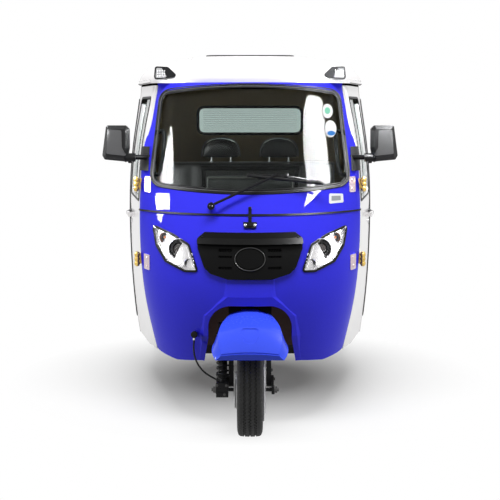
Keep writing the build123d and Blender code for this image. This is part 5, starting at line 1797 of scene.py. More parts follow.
@dataclass
class Dashboard:
    """Binnacle, dials, switches, mats, pedal, grab rails and belt reels."""

    binnacle_place: Point = (0.0, -0.836, 1.042)
    binnacle_tilt_deg: float = -28.0
    binnacle_size: Point = (0.230, 0.050, 0.058)
    dials: tuple = ((-0.058, 0.024), (0.002, 0.017), (0.060, 0.024))
    switch_z: float = 1.003
    knob_x: tuple = (-0.330, -0.270, -0.210)
    floors: tuple = ((-0.620, -0.150, 0.340, 0.3315), (0.260, 0.530, 0.520, 0.3315))
    pedal: Point = (0.130, -0.640, 0.425)
    pedal_stem: tuple = ((0.130, -0.646, 0.420), (0.130, -0.672, 0.400), (0.130, -0.690, 0.345))
    pillar_rail: tuple = ((-0.650, 1.150), (-0.560, 1.330))
    rail_reach: float = 0.042
    rail_radius: float = 0.0095
    wall_rail: tuple = ((-0.245, 0.246, 0.92), (-0.245, 0.300, 0.925), (0.0, 0.304, 0.926),
                        (0.245, 0.300, 0.925), (0.245, 0.246, 0.92))
    belt_y: float = 0.055
    belt: tuple = ((1.345, (0.040, 0.060, 0.016), 0.006, 0.005),
                   (1.220, (0.046, 0.200, 0.004), 0.004, 0.0015),
                   (1.100, (0.060, 0.080, 0.036), 0.016, 0.008))

    def build(self) -> None:
        """Make the cabin's fittings."""
        self.binnacle()
        self.switches()
        self.mats()
        self.rails()
        self.belts()

    def binnacle(self) -> None:
        """Hooded cluster with two blank dials."""
        hood = bmesh.new()
        tilt = Matrix.Rotation(math.radians(self.binnacle_tilt_deg), 4, "X")
        at = Matrix.Translation(self.binnacle_place) @ tilt
        block(hood, self.binnacle_size, at, 0.012, 3)
        add_piece("dial_binnacle", hood, PLASTIC)
        rings = bmesh.new()
        faces = bmesh.new()
        marks = bmesh.new()
        needles = bmesh.new()
        look = (at.to_3x3() @ BACK).normalized()
        for x, radius in self.dials:
            face = facing(at @ Vector((x, 0.0252, 0.0)), look)
            lathe(rings, ((0.0, radius + 0.0025), (0.003, radius + 0.002), (0.003, radius)), face, 40,
                  capped=False)
            lathe(faces, ((0.0, radius), (0.0006, radius)), face, 40)
            for tick in range(13):
                turn = math.radians(-45.0 + 22.5 * tick)
                mark = face @ Matrix.Rotation(turn, 4, "Z") @ Matrix.Translation((radius * 0.84, 0.0, 0.0010))
                block(marks, (0.0034, 0.0008, 0.0006), mark, 0.0002, 1)
            block(needles, (radius * 0.8, 0.0014, 0.0010),
                  face @ Matrix.Rotation(math.radians(-42.0), 4, "Z") @
                  Matrix.Translation((-radius * 0.32, 0.0, 0.0019)), 0.0004, 1)
            lathe(needles, ((0.0006, 0.0032), (0.0032, 0.0030), (0.0036, 0.0018)), face, 20)
        add_piece("dial_rims", rings, SATIN_SILVER)
        add_piece("dial_faces", faces, SATIN_BLACK)
        add_piece("dial_marks", marks, LABEL_WHITE)
        add_piece("dial_needles", needles, AMBER)

    def switches(self) -> None:
        """Rocker switches and pull knobs on the face towards the driver."""
        rockers = bmesh.new()
        knobs = bmesh.new()
        dash = Surface("dashboard")
        for index in range(5):
            place, normal = dash.hit((0.170 + 0.034 * index, -0.5, self.switch_z), AHEAD)
            at = facing(place, normal)
            block(rockers, (0.026, 0.018, 0.004), at, 0.0015)
            block(rockers, (0.016, 0.012, 0.0055), at @ Matrix.Rotation(0.10, 4, "X"), 0.0015)
        for x in self.knob_x:
            place, normal = dash.hit((x, -0.5, self.switch_z), AHEAD)
            lathe(knobs, ((0.0, 0.0090), (0.0020, 0.0088), (0.0030, 0.0070), (0.0022, 0.0050)),
                  facing(place, normal), 20)
        add_piece("dash_switches", rockers, GLOSS_BLACK)
        add_piece("dash_knobs", knobs, SATIN_BLACK)

    def mats(self) -> None:
        """Ribbed rubber mats on both floors and a ribbed brake pedal pad."""
        mat = bmesh.new()
        for low, high, half, z in self.floors:
            middle = (low + high) / 2
            block(mat, (2 * half, high - low, 0.003), Matrix.Translation((0.0, middle, z)), 0.001, 1)
            count = int(2 * half / 0.020)
            for index in range(1, count):
                x = -half + 2 * half * index / count
                rib = Matrix.Translation((x, middle, z + 0.0025))
                block(mat, (0.006, high - low - 0.03, 0.003), rib, 0.001, 1)
        add_piece("floor_mats", mat, RUBBER)
        pedal = bmesh.new()
        tilt = Matrix.Rotation(math.radians(-30.0), 4, "X")
        block(pedal, (0.070, 0.012, 0.056), Matrix.Translation(self.pedal) @ tilt, 0.003)
        tube(pedal, smooth_path(self.pedal_stem, 4), 0.007, 10)
        for index in range(4):
            rib = Matrix.Translation((0.130, -0.633 - 0.001 * index, 0.407 + 0.011 * index))
            block(pedal, (0.060, 0.004, 0.004), rib, 0.001, 1)
        add_piece("brake_pedal", pedal, SATIN_BLACK)

    def rails(self) -> None:
        """Grab rails beside the windscreen, each on two feet, and one on the partition."""
        build = bmesh.new()
        cab = Surface("windscreen_frame")
        for side in Side:
            ends = [cab.within(side, y, z) for y, z in self.pillar_rail]
            (low, low_normal), (high, high_normal) = ends
            path = [low, low + low_normal * self.rail_reach, high + high_normal * self.rail_reach, high]
            tube(build, smooth_path(path, 6), self.rail_radius, 12)
            for place, normal in ends:
                lathe(build, ((-0.002, 0.020), (0.004, 0.020), (0.007, 0.014)), facing(place, normal), 24)
        tube(build, smooth_path(self.wall_rail, 6), self.rail_radius, 12)
        add_piece("grab_rails", build, SATIN_BLACK)

    def belts(self) -> None:
        """Belt reel, strap and anchor on each side's pillar."""
        build = bmesh.new()
        wall = Surface("side_frame_left", "side_frame_right")
        for side in Side:
            for z, size, rise, bevel in self.belt:
                place, normal = wall.within(side, self.belt_y, z)
                block(build, size, facing(place + normal * rise, normal), bevel)
        add_piece("belt_reels", build, PLASTIC)


# ---------------------------------------------------------------- doors, sides, roof and tail


@dataclass
class Door:
    """Seals, lock, decal tip, hinge knuckles and inner card of one door."""

    side: Side
    window: tuple = ((-0.588, 1.010), (-0.042, 1.010), (-0.042, 1.500), (-0.349, 1.500), (-0.588, 1.075))
    decal: tuple = ((-0.060, 0.918), (-0.020, 0.938), (0.017, 0.949), (0.017, 0.800), (-0.010, 0.850))
    lock: Flat = (-0.050, 0.860)
    card: tuple = ((-0.560, 0.400), (-0.060, 0.360), (-0.060, 0.960), (-0.560, 0.960))
    card_screws: tuple = ((-0.500, 0.450), (-0.100, 0.430), (-0.500, 0.900), (-0.100, 0.900))
    pull_ends: tuple = ((-0.330, 0.845), (-0.130, 0.845))
    pull_reach: float = 0.034
    hinge_axis: Flat = (0.541, -0.664)
    hinge_heights: tuple = (0.733, 1.092)
    leaf_half: float = 0.036
    leaf_screws: tuple = (-0.614, 0.016)
    knuckle_starts: tuple = (-0.031, -0.010, 0.011)
    knuckle: tuple = ((0.0, 0.0098), (0.004, 0.0125), (0.010, 0.0138), (0.016, 0.0125), (0.020, 0.0098))
    plate_edges: Flat = (0.4675, 0.4985)
    plate_screws: Flat = (0.482, 0.016)
    plate_rise: float = 0.0035

    def __post_init__(self) -> None:
        """Name the door's body and read its faces."""
        self.word = self.side.word
        self.body = "door_" + self.word
        self.skin = Surface("door_panel_" + self.word, "door_glass_" + self.word)

    def outside(self, y: float, z: float) -> Spot:
        """Outer face at y and z."""
        return self.skin.beside(self.side, y, z)

    def inside(self, y: float, z: float) -> Spot:
        """Inner face at y and z."""
        return self.skin.within(self.side, y, z)

    def build(self) -> None:
        """Make the door's fittings."""
        loop = rounded_loop(self.window, 0.034, 0.03)
        seal = bmesh.new()
        bead(seal, [self.outside(y, z) for y, z in shrink(loop, -0.004)], 0.011, 0.0035)
        add_piece("door_window_seal_" + self.word, seal, RUBBER, self.body, sharp=60.0)
        inner = bmesh.new()
        bead(inner, [self.inside(y, z) for y, z in shrink(loop, -0.008)], 0.016, 0.003)
        add_piece("door_window_trim_" + self.word, inner, PLASTIC, self.body, sharp=60.0)
        self.hardware()
        self.hinges()
        decal = bmesh.new()
        patch(decal, rounded_loop(self.decal, 0.004, 0.02), self.outside, 0.0003, 0.0004)
        add_piece("decal_door_" + self.word, decal, DECAL_BLACK, self.body)

    def hardware(self) -> None:
        """Lock, inner card, its pull and its screws."""
        lock = bmesh.new()
        at = facing(*self.outside(*self.lock))
        lathe(lock, ((-0.001, 0.0135), (0.003, 0.0130), (0.0045, 0.0110)), at, 28)
        block(lock, (0.002, 0.010, 0.002), at @ Matrix.Translation((0.0, 0.0, 0.0046)), 0.0005, 1)
        add_piece("door_lock_" + self.word, lock, SATIN_SILVER, self.body)
        card = bmesh.new()
        patch(card, rounded_loop(self.card, 0.04, 0.05), self.inside, -0.0002, 0.004)
        add_piece("door_card_" + self.word, card, TRIM, self.body)
        pull = bmesh.new()
        (rear, rear_normal), (front, front_normal) = [self.inside(*end) for end in self.pull_ends]
        path = [rear, rear + rear_normal * self.pull_reach, front + front_normal * self.pull_reach, front]
        tube(pull, smooth_path(path, 6), 0.009, 10, 0.7)
        for y, z in self.card_screws:
            place, normal = self.inside(y, z)
            screw_head(pull, place + normal * 0.004, normal, 0.008, hexagon=False)
        add_piece("door_pull_" + self.word, pull, SATIN_BLACK, self.body)

    def hinges(self) -> None:
        """Knuckles, leaf screws and fixed plates of the door's two hinges."""
        knuckles = bmesh.new()
        screws = bmesh.new()
        leaf = Surface("door_hinges_" + self.word)
        screw_y, gap = self.leaf_screws
        for height in self.hinge_heights:
            profile = [(-0.036, 0.004), (-0.034, 0.0085)]
            for start in self.knuckle_starts:
                profile += [(start + along, radius) for along, radius in self.knuckle]
            profile += [(0.034, 0.0085), (0.036, 0.004)]
            lathe(knuckles, profile, Matrix.Translation(self.side.at(*self.hinge_axis, height)), 28)
            for z in (-gap, gap):
                screw_head(screws, *leaf.beside(self.side, screw_y, height + z), 0.0055, hexagon=False)
        add_piece("hinge_knuckles_" + self.word, knuckles, GOLD, self.body)
        add_piece("hinge_screws_" + self.word, screws, GOLD, self.body)
        plates = bmesh.new()
        inner, outer = self.plate_edges
        screw_x, gap = self.plate_screws
        for height in self.hinge_heights:
            low, high = height - self.leaf_half, height + self.leaf_half
            outline = on_side(((inner, low), (outer, low), (outer, high), (inner, high)), self.side)
            patch(plates, rounded_loop(outline, 0.005, 0.012), NOSE.front, -0.0002, self.plate_rise, 3)
            for z in (low + gap, high - gap):
                place, normal = NOSE.front(self.side.value * screw_x, z)
                screw_head(plates, place + normal * 0.0033, normal, 0.0062, hexagon=False)
        add_piece("hinge_plates_" + self.word, plates, ZINC)


@dataclass
class BodySide:
    """Doorway edging, decals, louvres, arch lip, reflector, gutter and filler cap of one side."""

    side: Side
    doorway: tuple = ((0.072, 0.330), (0.540, 0.330), (0.540, 1.490), (0.072, 1.490))
    decal: tuple = ((0.030, 0.945), (0.048, 0.949), (0.055, 0.940), (0.053, 0.800), (0.047, 0.731),
                    (0.030, 0.775))
    sweep_top: tuple = ((0.550, 0.930), (0.720, 0.900), (0.900, 0.840), (1.030, 0.760))
    sweep_foot: tuple = ((0.550, 0.850), (0.720, 0.835), (0.900, 0.795), (1.030, 0.760))
    arch: tuple = ((0.548, 0.256), (0.550, 0.262), (0.640, 0.445), (0.672, 0.464), (0.968, 0.464),
                   (1.000, 0.445), (1.092, 0.262), (1.094, 0.256))
    reflector: tuple = ((1.020, 0.560), (1.100, 0.560), (1.100, 0.590), (1.020, 0.590))
    filler: Flat = (0.650, 0.700)
    louvre_start: Flat = (0.930, 0.640)
    louvre_step: Flat = (0.020, 0.026)
    gutter_z: float = 1.579
    rivets_z: float = 1.594

    def __post_init__(self) -> None:
        """Read the side's faces."""
        self.word = self.side.word
        self.flank = Surface("side_frame_" + self.word, "rear_quarter_" + self.word, "rear_wall")

    def look(self, y: float, z: float) -> Spot:
        """Outer face at y and z."""
        return self.flank.beside(self.side, y, z)

    def build(self) -> None:
        """Make the side's fittings."""
        edge = bmesh.new()
        doorway = rounded_loop(self.doorway, 0.040, 0.05)
        bead(edge, [self.look(y, z) for y, z in shrink(doorway, -0.006)], 0.012, 0.005)
        add_piece("doorway_edging_" + self.word, edge, RUBBER, sharp=60.0)
        decal = bmesh.new()
        patch(decal, rounded_loop(self.decal, 0.004, 0.02), self.look, 0.0003, 0.0004)
        add_piece("decal_side_" + self.word, decal, DECAL_BLACK)
        self.swoosh()
        self.louvres()
        self.trims()

    def swoosh(self) -> None:
        """Tapering sweep behind the doorway."""
        upper, lower = ([Vector(point) for point in line] for line in (self.sweep_top, self.sweep_foot))
        rings = []
        for index in range(13):
            share = index / 12 * 2.999
            step, part = int(share), share - int(share)
            top = upper[step].lerp(upper[step + 1], part)
            low = lower[step].lerp(lower[step + 1], part)
            row = [self.look(*low.lerp(top, cut / 4)) for cut in range(5)]
            rings.append([place + normal * 0.0008 for place, normal in row] +
                         [place + normal * 0.0002 for place, normal in reversed(row)])
        build = bmesh.new()
        skin_rings(build, rings)
        add_piece("decal_rear_" + self.word, build, DECAL_BLACK)

    def louvres(self) -> None:
        """Cooling louvres over the engine."""
        build = bmesh.new()
        first_y, first_z = self.louvre_start
        step_y, step_z = self.louvre_step
        widths = [0.006 + 0.010 * math.sin(math.pi * step / 7) for step in range(8)]
        for index in range(6):
            line = [self.look(first_y + step_y * step, first_z + step_z * index) for step in range(8)]
            bead(build, line, widths, 0.006, closed=False)
        add_piece("side_louvres_" + self.word, build, WHITE)

    def trims(self) -> None:
        """Wheel arch lip, reflector, gutter with its rivets, and the filler cap on the left."""
        arch = bmesh.new()
        line = [self.look(point.x, point.y) for point in smooth_path([(y, z, 0.0) for y, z in self.arch], 4)]
        bead(arch, line, 0.014, 0.006, closed=False)
        add_piece("wheel_arch_lip_" + self.word, arch, RUBBER, sharp=60.0)
        lamp = bmesh.new()
        patch(lamp, rounded_loop(self.reflector, 0.006, 0.02), self.look, 0.0, 0.007)
        add_piece("side_reflector_" + self.word, lamp, AMBER)
        roof = Surface("roof_shell")
        gutter = bmesh.new()
        line = [roof.beside(self.side, -0.380 + 0.052 * index, self.gutter_z) for index in range(31)]
        bead(gutter, line, 0.010, 0.005, closed=False)
        add_piece("roof_gutter_" + self.word, gutter, ROOF_WHITE, sharp=60.0)
        rivets = bmesh.new()
        for index in range(15):
            seat = roof.beside(self.side, -0.340 + 0.104 * index, self.rivets_z)
            screw_head(rivets, *seat, 0.0048, hexagon=False)
        add_piece("roof_rivets_" + self.word, rivets, ROOF_WHITE)
        if self.side is Side.LEFT:
            cap = bmesh.new()
            at = facing(*self.look(*self.filler))
            lathe(cap, ((-0.003, 0.042), (0.004, 0.042), (0.010, 0.038), (0.012, 0.030), (0.010, 0.004)),
                  at, 40)
            block(cap, (0.052, 0.012, 0.012), at @ Matrix.Translation((0, 0, 0.013)), 0.003)
            add_piece("filler_cap", cap, SATIN_BLACK)


@dataclass
class Roof:
    """Vent louvres, pressed ribs and marker lenses."""

    lens: tuple = ((0.402, 1.598), (0.459, 1.595), (0.455, 1.644), (0.428, 1.643))
    rib_x: tuple = (-0.400, -0.310, 0.310, 0.400)
    rib_y: tuple = tuple(0.540 + 0.120 * index for index in range(5))
    rib_size: Flat = (0.030, 0.005)
    above: float = 2.2
    facet_start: Flat = (0.415, 1.606)
    facet_step: Flat = (0.011, 0.012)

    def build(self) -> None:
        """Make the roof's fittings."""
        top = Surface("roof_shell", "roof_vent")
        ribs = bmesh.new()
        lengthwise = [[(x, -0.120 + 0.055 * index) for index in range(22)] for x in self.rib_x]
        crosswise = [[(-0.200 + 0.050 * step, y) for step in range(9)] for y in self.rib_y]
        for points in lengthwise + crosswise:
            line = [top.hit((x, y, self.above), DOWN) for x, y in points]
            bead(ribs, line, *self.rib_size, closed=False, sink=0.002)
        add_piece("roof_ribs", ribs, ROOF_WHITE, sharp=60.0)
        self.vent()
        self.markers()

    def markers(self) -> None:
        """Lenses and facets of the corner marker lamps."""
        pods = Surface("marker_lamps")
        first_x, first_z = self.facet_start
        step_x, step_z = self.facet_step
        for side in Side:
            lens = bmesh.new()
            patch(lens, rounded_loop(on_side(self.lens, side), 0.008, 0.008), pods.front, 0.0, 0.003, 4)
            add_piece("marker_lens_" + side.word, lens, MARKER_LENS)
            facets = bmesh.new()
            for row in range(3):
                for step in range(4):
                    seat = pods.front(side.value * (first_x + step_x * step), first_z + step_z * row)
                    lathe(facets, ((0.0025, 0.0052), (0.0040, 0.0044), (0.0052, 0.0006)), facing(*seat), 4)
            add_piece("marker_facets_" + side.word, facets, CHROME, sharp=8.0)

    def vent(self) -> None:
        """Vent in place of its plain slab: a stepped rim with raised slats inside."""
        low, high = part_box("roof_vent")
        corners = ((low.x, low.y), (high.x, low.y), (high.x, high.y), (low.x, high.y))
        loop = rounded_loop(corners, 0.060, 0.03, 8)
        build = bmesh.new()
        steps = ((0.0, low.z), (0.0, high.z - 0.003), (0.003, high.z), (0.012, high.z),
                 (0.014, high.z - 0.005), (0.030, high.z - 0.006))
        skin_rings(build, [[Vector((x, y, z)) for x, y in shrink(loop, inset)] for inset, z in steps])
        add_piece("vent_tray", build, PLASTIC, sharp=30.0, replaces=("roof_vent",))
        slats = bmesh.new()
        middle = (low.y + high.y) / 2
        for index in range(11):
            y = middle + 0.046 * (index - 5)
            half = 0.176 if 0 < index < 10 else 0.150
            at = Matrix.Translation((0.0, y, high.z - 0.0045)) @ Matrix.Rotation(math.radians(9.0), 4, "X")
            block(slats, (2 * half, 0.030, 0.0028), at, 0.0012, 2)
        add_piece("vent_slats", slats, PLASTIC)


@dataclass
class Tail:
    """Lamps, lid louvres and latch, window seal, bumper trims and exhaust tip."""

    window: tuple = ((-0.327, 1.296), (0.327, 1.296), (0.327, 1.454), (-0.327, 1.454))
    lid: tuple = ((-0.412, 0.363), (0.412, 0.363), (0.412, 0.752), (-0.412, 0.752))
    bumper: Flat = (1.350, 0.318)
    bumper_radius: float = 0.0196
    lenses: tuple = (("stop", 0.606, 0.664, RED_LENS), ("turn", 0.668, 0.710, AMBER),
                     ("reverse", 0.714, 0.754, MARKER_LENS))
    lens_edges: Flat = (0.479, 0.553)
    bezel: tuple = ((0.472, 0.602), (0.558, 0.602), (0.558, 0.758), (0.472, 0.758))
    tailpipe: Point = (0.160, 1.338, 0.200)
    tailpipe_lip: tuple = ((-0.030, 0.0168), (0.006, 0.0185), (0.008, 0.0178), (0.006, 0.0135),
                           (-0.030, 0.0130))
    cap_x: float = 0.478
    pad_x: tuple = (-0.200, 0.0, 0.200)
    pad_half: float = 0.040
    louvre_start: Flat = (0.120, 0.520)
    louvre_step: Flat = (0.022, 0.026)
    latch: Flat = (0.0, 0.400)
    lid_hinge: Flat = (0.300, 0.748)
    heating_low: float = 1.308
    heating_pitch: float = 0.0122

    def build(self) -> None:
        """Make the tail's fittings."""
        tail = Surface("rear_wall", "rear_window", "engine_lid")
        seal = bmesh.new()
        loop = rounded_loop(self.window, 0.040, 0.03, 8)
        bead(seal, [tail.behind(x, z) for x, z in shrink(loop, -0.004)], 0.014, 0.005)
        bead(seal, [tail.hit((x, 1.0, z), BACK) for x, z in shrink(loop, -0.006)], 0.018, 0.005)
        add_piece("rear_window_seal", seal, RUBBER, sharp=60.0)
        self.heating_lines()
        self.lid_fittings()
        self.lamps()
        self.bumper_trims()
        tip = bmesh.new()
        lathe(tip, self.tailpipe_lip, facing(self.tailpipe, BACK), 32, capped=False)
        add_piece("exhaust_tip", tip, SATIN_SILVER)

    def bumper_trims(self) -> None:
        """Rubber caps on the bumper's ends and ribbed pads round its tube."""
        caps = bmesh.new()
        radius = self.bumper_radius
        for side in Side:
            lathe(caps, ((-0.030, radius), (0.004, radius), (0.008, 0.0180), (0.010, 0.0100)),
                  facing((side.value * self.cap_x, *self.bumper), side.out), 32)
        add_piece("bumper_end_caps", caps, RUBBER)
        pads = bmesh.new()
        half = Vector((self.pad_half, 0.0, 0.0))
        y, z = self.bumper
        for x in self.pad_x:
            for step in range(9):
                turn = math.radians(-70.0 + 17.5 * step)
                crest = Vector((x, y - radius * math.cos(turn), z + radius * math.sin(turn)))
                tube(pads, [crest - half, crest + half], 0.0022, 6)
        add_piece("bumper_pads", pads, RUBBER)

    def heating_lines(self) -> None:
        """Fine heating lines printed inside the rear window."""
        pane = Surface("rear_window")
        build = bmesh.new()
        for index in range(12):
            z = self.heating_low + self.heating_pitch * index
            line = [pane.hit((-0.300 + 0.050 * step, 1.0, z), BACK) for step in range(13)]
            bead(build, line, 0.0016, 0.0004, closed=False, sink=0.0)
        add_piece("rear_window_lines", build, LABEL_GREY)

    def lid_fittings(self) -> None:
        """Louvres, latch, hinge leaves and pressed edge of the engine lid."""
        lid = Surface("engine_lid")
        louvres = bmesh.new()
        first_x, first_z = self.louvre_start
        step_x, step_z = self.louvre_step
        widths = [0.005 + 0.012 * math.sin(math.pi * step / 9) for step in range(10)]
        for side in Side:
            for index in range(8):
                z = first_z + step_z * index
                line = [lid.behind(side.value * (first_x + step_x * step), z) for step in range(10)]
                bead(louvres, line, widths, 0.007, closed=False)
        add_piece("lid_louvres", louvres, WHITE, "engine_lid")
        latch = bmesh.new()
        at = facing(*lid.behind(*self.latch))
        block(latch, (0.070, 0.050, 0.008), at, 0.003)
        block(latch, (0.016, 0.040, 0.016), at @ Matrix.Translation((0, 0, 0.006)), 0.004)
        add_piece("lid_latch", latch, SATIN_BLACK, "engine_lid")
        hinges = bmesh.new()
        x, z = self.lid_hinge
        for side in Side:
            place, normal = lid.behind(side.value * x, z)
            at = facing(place, normal)
            block(hinges, (0.060, 0.028, 0.004), at, 0.0015)
            for along in (-0.018, 0.018):
                screw_head(hinges, at @ Vector((along, 0.0, 0.002)), normal, 0.0055, hexagon=False)
        add_piece("lid_hinges", hinges, GOLD, "engine_lid")
        edge = bmesh.new()
        bead(edge, [lid.behind(x, z) for x, z in rounded_loop(self.lid, 0.028, 0.04)], 0.010, 0.003)
        add_piece("lid_pressing", edge, WHITE, "engine_lid", sharp=60.0)

    def lamps(self) -> None:
        """Red, amber and clear lenses in a black bezel."""
        pods = Surface("tail_lamps")
        inner, outer = self.lens_edges
        for side in Side:
            for name, low, high, finish in self.lenses:
                build = bmesh.new()
                outline = on_side(((inner, low), (outer, low), (outer, high), (inner, high)), side)
                patch(build, rounded_loop(outline, 0.007, 0.012), pods.behind, 0.0, 0.006, 4)
                for step in range(6):
                    place, normal = pods.behind(side.value * (0.486 + 0.012 * step), (low + high) / 2)
                    block(build, (0.0022, high - low - 0.010, 0.0022),
                          Matrix.Translation(place + normal * 0.0065), 0.0007, 1)
                add_piece(f"tail_{name}_{side.word}", build, finish)
            ring = bmesh.new()
            loop = rounded_loop(on_side(self.bezel, side), 0.012, 0.014)
            bead(ring, [pods.behind(x, z) for x, z in shrink(loop, 0.003)], 0.006, 0.008)
            add_piece("tail_bezel_" + side.word, ring, SATIN_BLACK)


@dataclass
class Underframe:
    """Springs, boots, engine ribs and covers, clamps, frame bolts and flap ribs."""

    spring_x: float = 0.417
    spring_ends: tuple = ((0.802, 0.300), (0.828, 0.572))
    boot_x: Flat = (0.225, 0.392)
    boot_rise: float = 0.038
    covers: tuple = ((-0.090, 0.420, 0.085), (0.105, 0.400, 0.070))
    covers_y: float = 1.189
    sump_plugs: tuple = ((-0.120, 0.860), (0.020, 0.980), (0.120, 0.860))
    exhaust: Flat = (0.160, 0.212)
    clamps_y: Flat = (1.075, 1.195)
    rail_bolts_y: tuple = (-0.618, -0.040, 0.030, 0.502, 0.570, 1.222)
    hanger_bolts_y: Flat = (0.582, 0.618)
    flap_bolts_x: tuple = (0.490, 0.523, 0.556)

    def build(self) -> None:
        """Make what shows under the floor and round the engine."""
        for side in Side:
            word = side.word
            spring = bmesh.new()
            foot, head = (side.at(self.spring_x, y, z) for y, z in self.spring_ends)
            coil(spring, foot, head, 0.0440, 0.0062, 6.5)
            add_piece("rear_spring_" + word, spring, SATIN_BLACK, sharp=60.0)
            boot = bmesh.new()
            start = side.at(self.boot_x[0], REAR_AXLE_Y, AXLE_Z + self.boot_rise)
            end = side.at(self.boot_x[1], REAR_AXLE_Y, AXLE_Z)
            for origin, look in ((start, end - start), (end, start - end)):
                profile = [(0.0, 0.030)]
                for index in range(6):
                    low = 0.006 + 0.0085 * index
                    reach = 0.029 - 0.0022 * index
                    profile += [(low, reach), (low + 0.003, reach - 0.0055), (low + 0.006, reach - 0.0055)]
                profile.append((0.060, 0.0150))
                lathe(boot, profile, facing(origin, look), 32)
            add_piece("shaft_boots_" + word, boot, RUBBER, sharp=25.0)
        self.engine()
        self.bolts()

    def engine(self) -> None:
        """Ribs, covers and plugs on the engine, and the clamps of its exhaust."""
        ribs = bmesh.new()
        for index in range(12):
            y = 0.800 + 0.030 * index
            block(ribs, (0.434, 0.006, 0.180), Matrix.Translation((0.0, y, 0.455)), 0.002, 1)
        for z in (0.322, 0.345, 0.368):
            block(ribs, (0.438, 0.400, 0.006), Matrix.Translation((0.0, 0.975, z)), 0.002, 1)
        add_piece("engine_ribs", ribs, ALUMINIUM)
        covers = bmesh.new()
        for x, z, radius in self.covers:
            at = facing((x, self.covers_y, z), BACK)
            lathe(covers, ((0.0, radius), (0.014, radius), (0.020, radius * 0.94), (0.022, radius * 0.55),
                           (0.030, radius * 0.5), (0.032, radius * 0.1)), at, 48)
            for index in range(8):
                seat = at @ spoke(radius * 0.88, math.tau * index / 8, 0.0205)
                screw_head(covers, seat, BACK, 0.0055)
        add_piece("engine_covers", covers, CAST_IRON)
        under = bmesh.new()
        for x, y in self.sump_plugs:
            screw_head(under, Vector((x, y, 0.298)), DOWN, 0.016)
        for index in range(7):
            rib = Matrix.Translation((0.0, 0.800 + 0.030 * index, 0.296))
            block(under, (0.300, 0.005, 0.010), rib, 0.0015, 1)
        add_piece("sump_ribs", under, ALUMINIUM)
        clamp = bmesh.new()
        x, z = self.exhaust
        for y in self.clamps_y:
            at = facing((x, y, z), BACK)
            lathe(clamp, ((-0.009, 0.0445), (-0.009, 0.0465), (0.009, 0.0465), (0.009, 0.0445)), at, 48)
            block(clamp, (0.012, 0.018, 0.014), at @ Matrix.Translation((-0.047, 0.0, 0.0)), 0.002)
        add_piece("exhaust_clamps", clamp, SATIN_SILVER)

    def bolts(self) -> None:
        """Bolts through the rails, crossmembers, hangers and flaps."""
        build = bmesh.new()
        for side in Side:
            for y in self.rail_bolts_y:
                screw_head(build, side.at(0.305, y, 0.2565), DOWN, 0.012)
            for y in self.hanger_bolts_y:
                screw_head(build, side.at(0.3375, y, 0.2355), DOWN, 0.010)
            for x in self.flap_bolts_x:
                screw_head(build, side.at(x, 1.0975, 0.405), BACK, 0.008)
        add_piece("frame_bolts", build, ZINC)
        ribs = bmesh.new()
        for side in Side:
            for index in range(7):
                x = side.value * (0.482 + 0.0137 * index)
                block(ribs, (0.004, 0.004, 0.200), Matrix.Translation((x, 1.0985, 0.275)), 0.0012, 1)
        add_piece("mudflap_ribs", ribs, RUBBER)


# ---------------------------------------------------------------- studio


def seen_rays(tree: Tree) -> Socket:
    """Value that is 1 for what the camera, gloss or glass sees.

    Args:
        tree: a material's or world's tree.

    Returns:
        The value's socket.
    """
    path = tree.nodes.new("ShaderNodeLightPath")
    seen = math_node(tree, "MAXIMUM", path.outputs["Is Camera Ray"], path.outputs["Is Glossy Ray"])
    return math_node(tree, "MAXIMUM", seen, path.outputs["Is Transmission Ray"])


@dataclass(frozen=True)
class Lamp:
    """One rectangular soft lamp: where it is, what it points at, its width and height."""

    name: str
    place: Point
    target: Point
    size: Flat
    watts: float


@dataclass(frozen=True)
class Card:
    """Bright card seen only in gloss, and the outline in which the camera meets its reflection.

    Each of rows_px is a row of the rendered frame, in pixels, with its first and last columns.
    """

    name: str
    rows_px: tuple[tuple[float, float, float], ...]
    strength: float
    distance: float


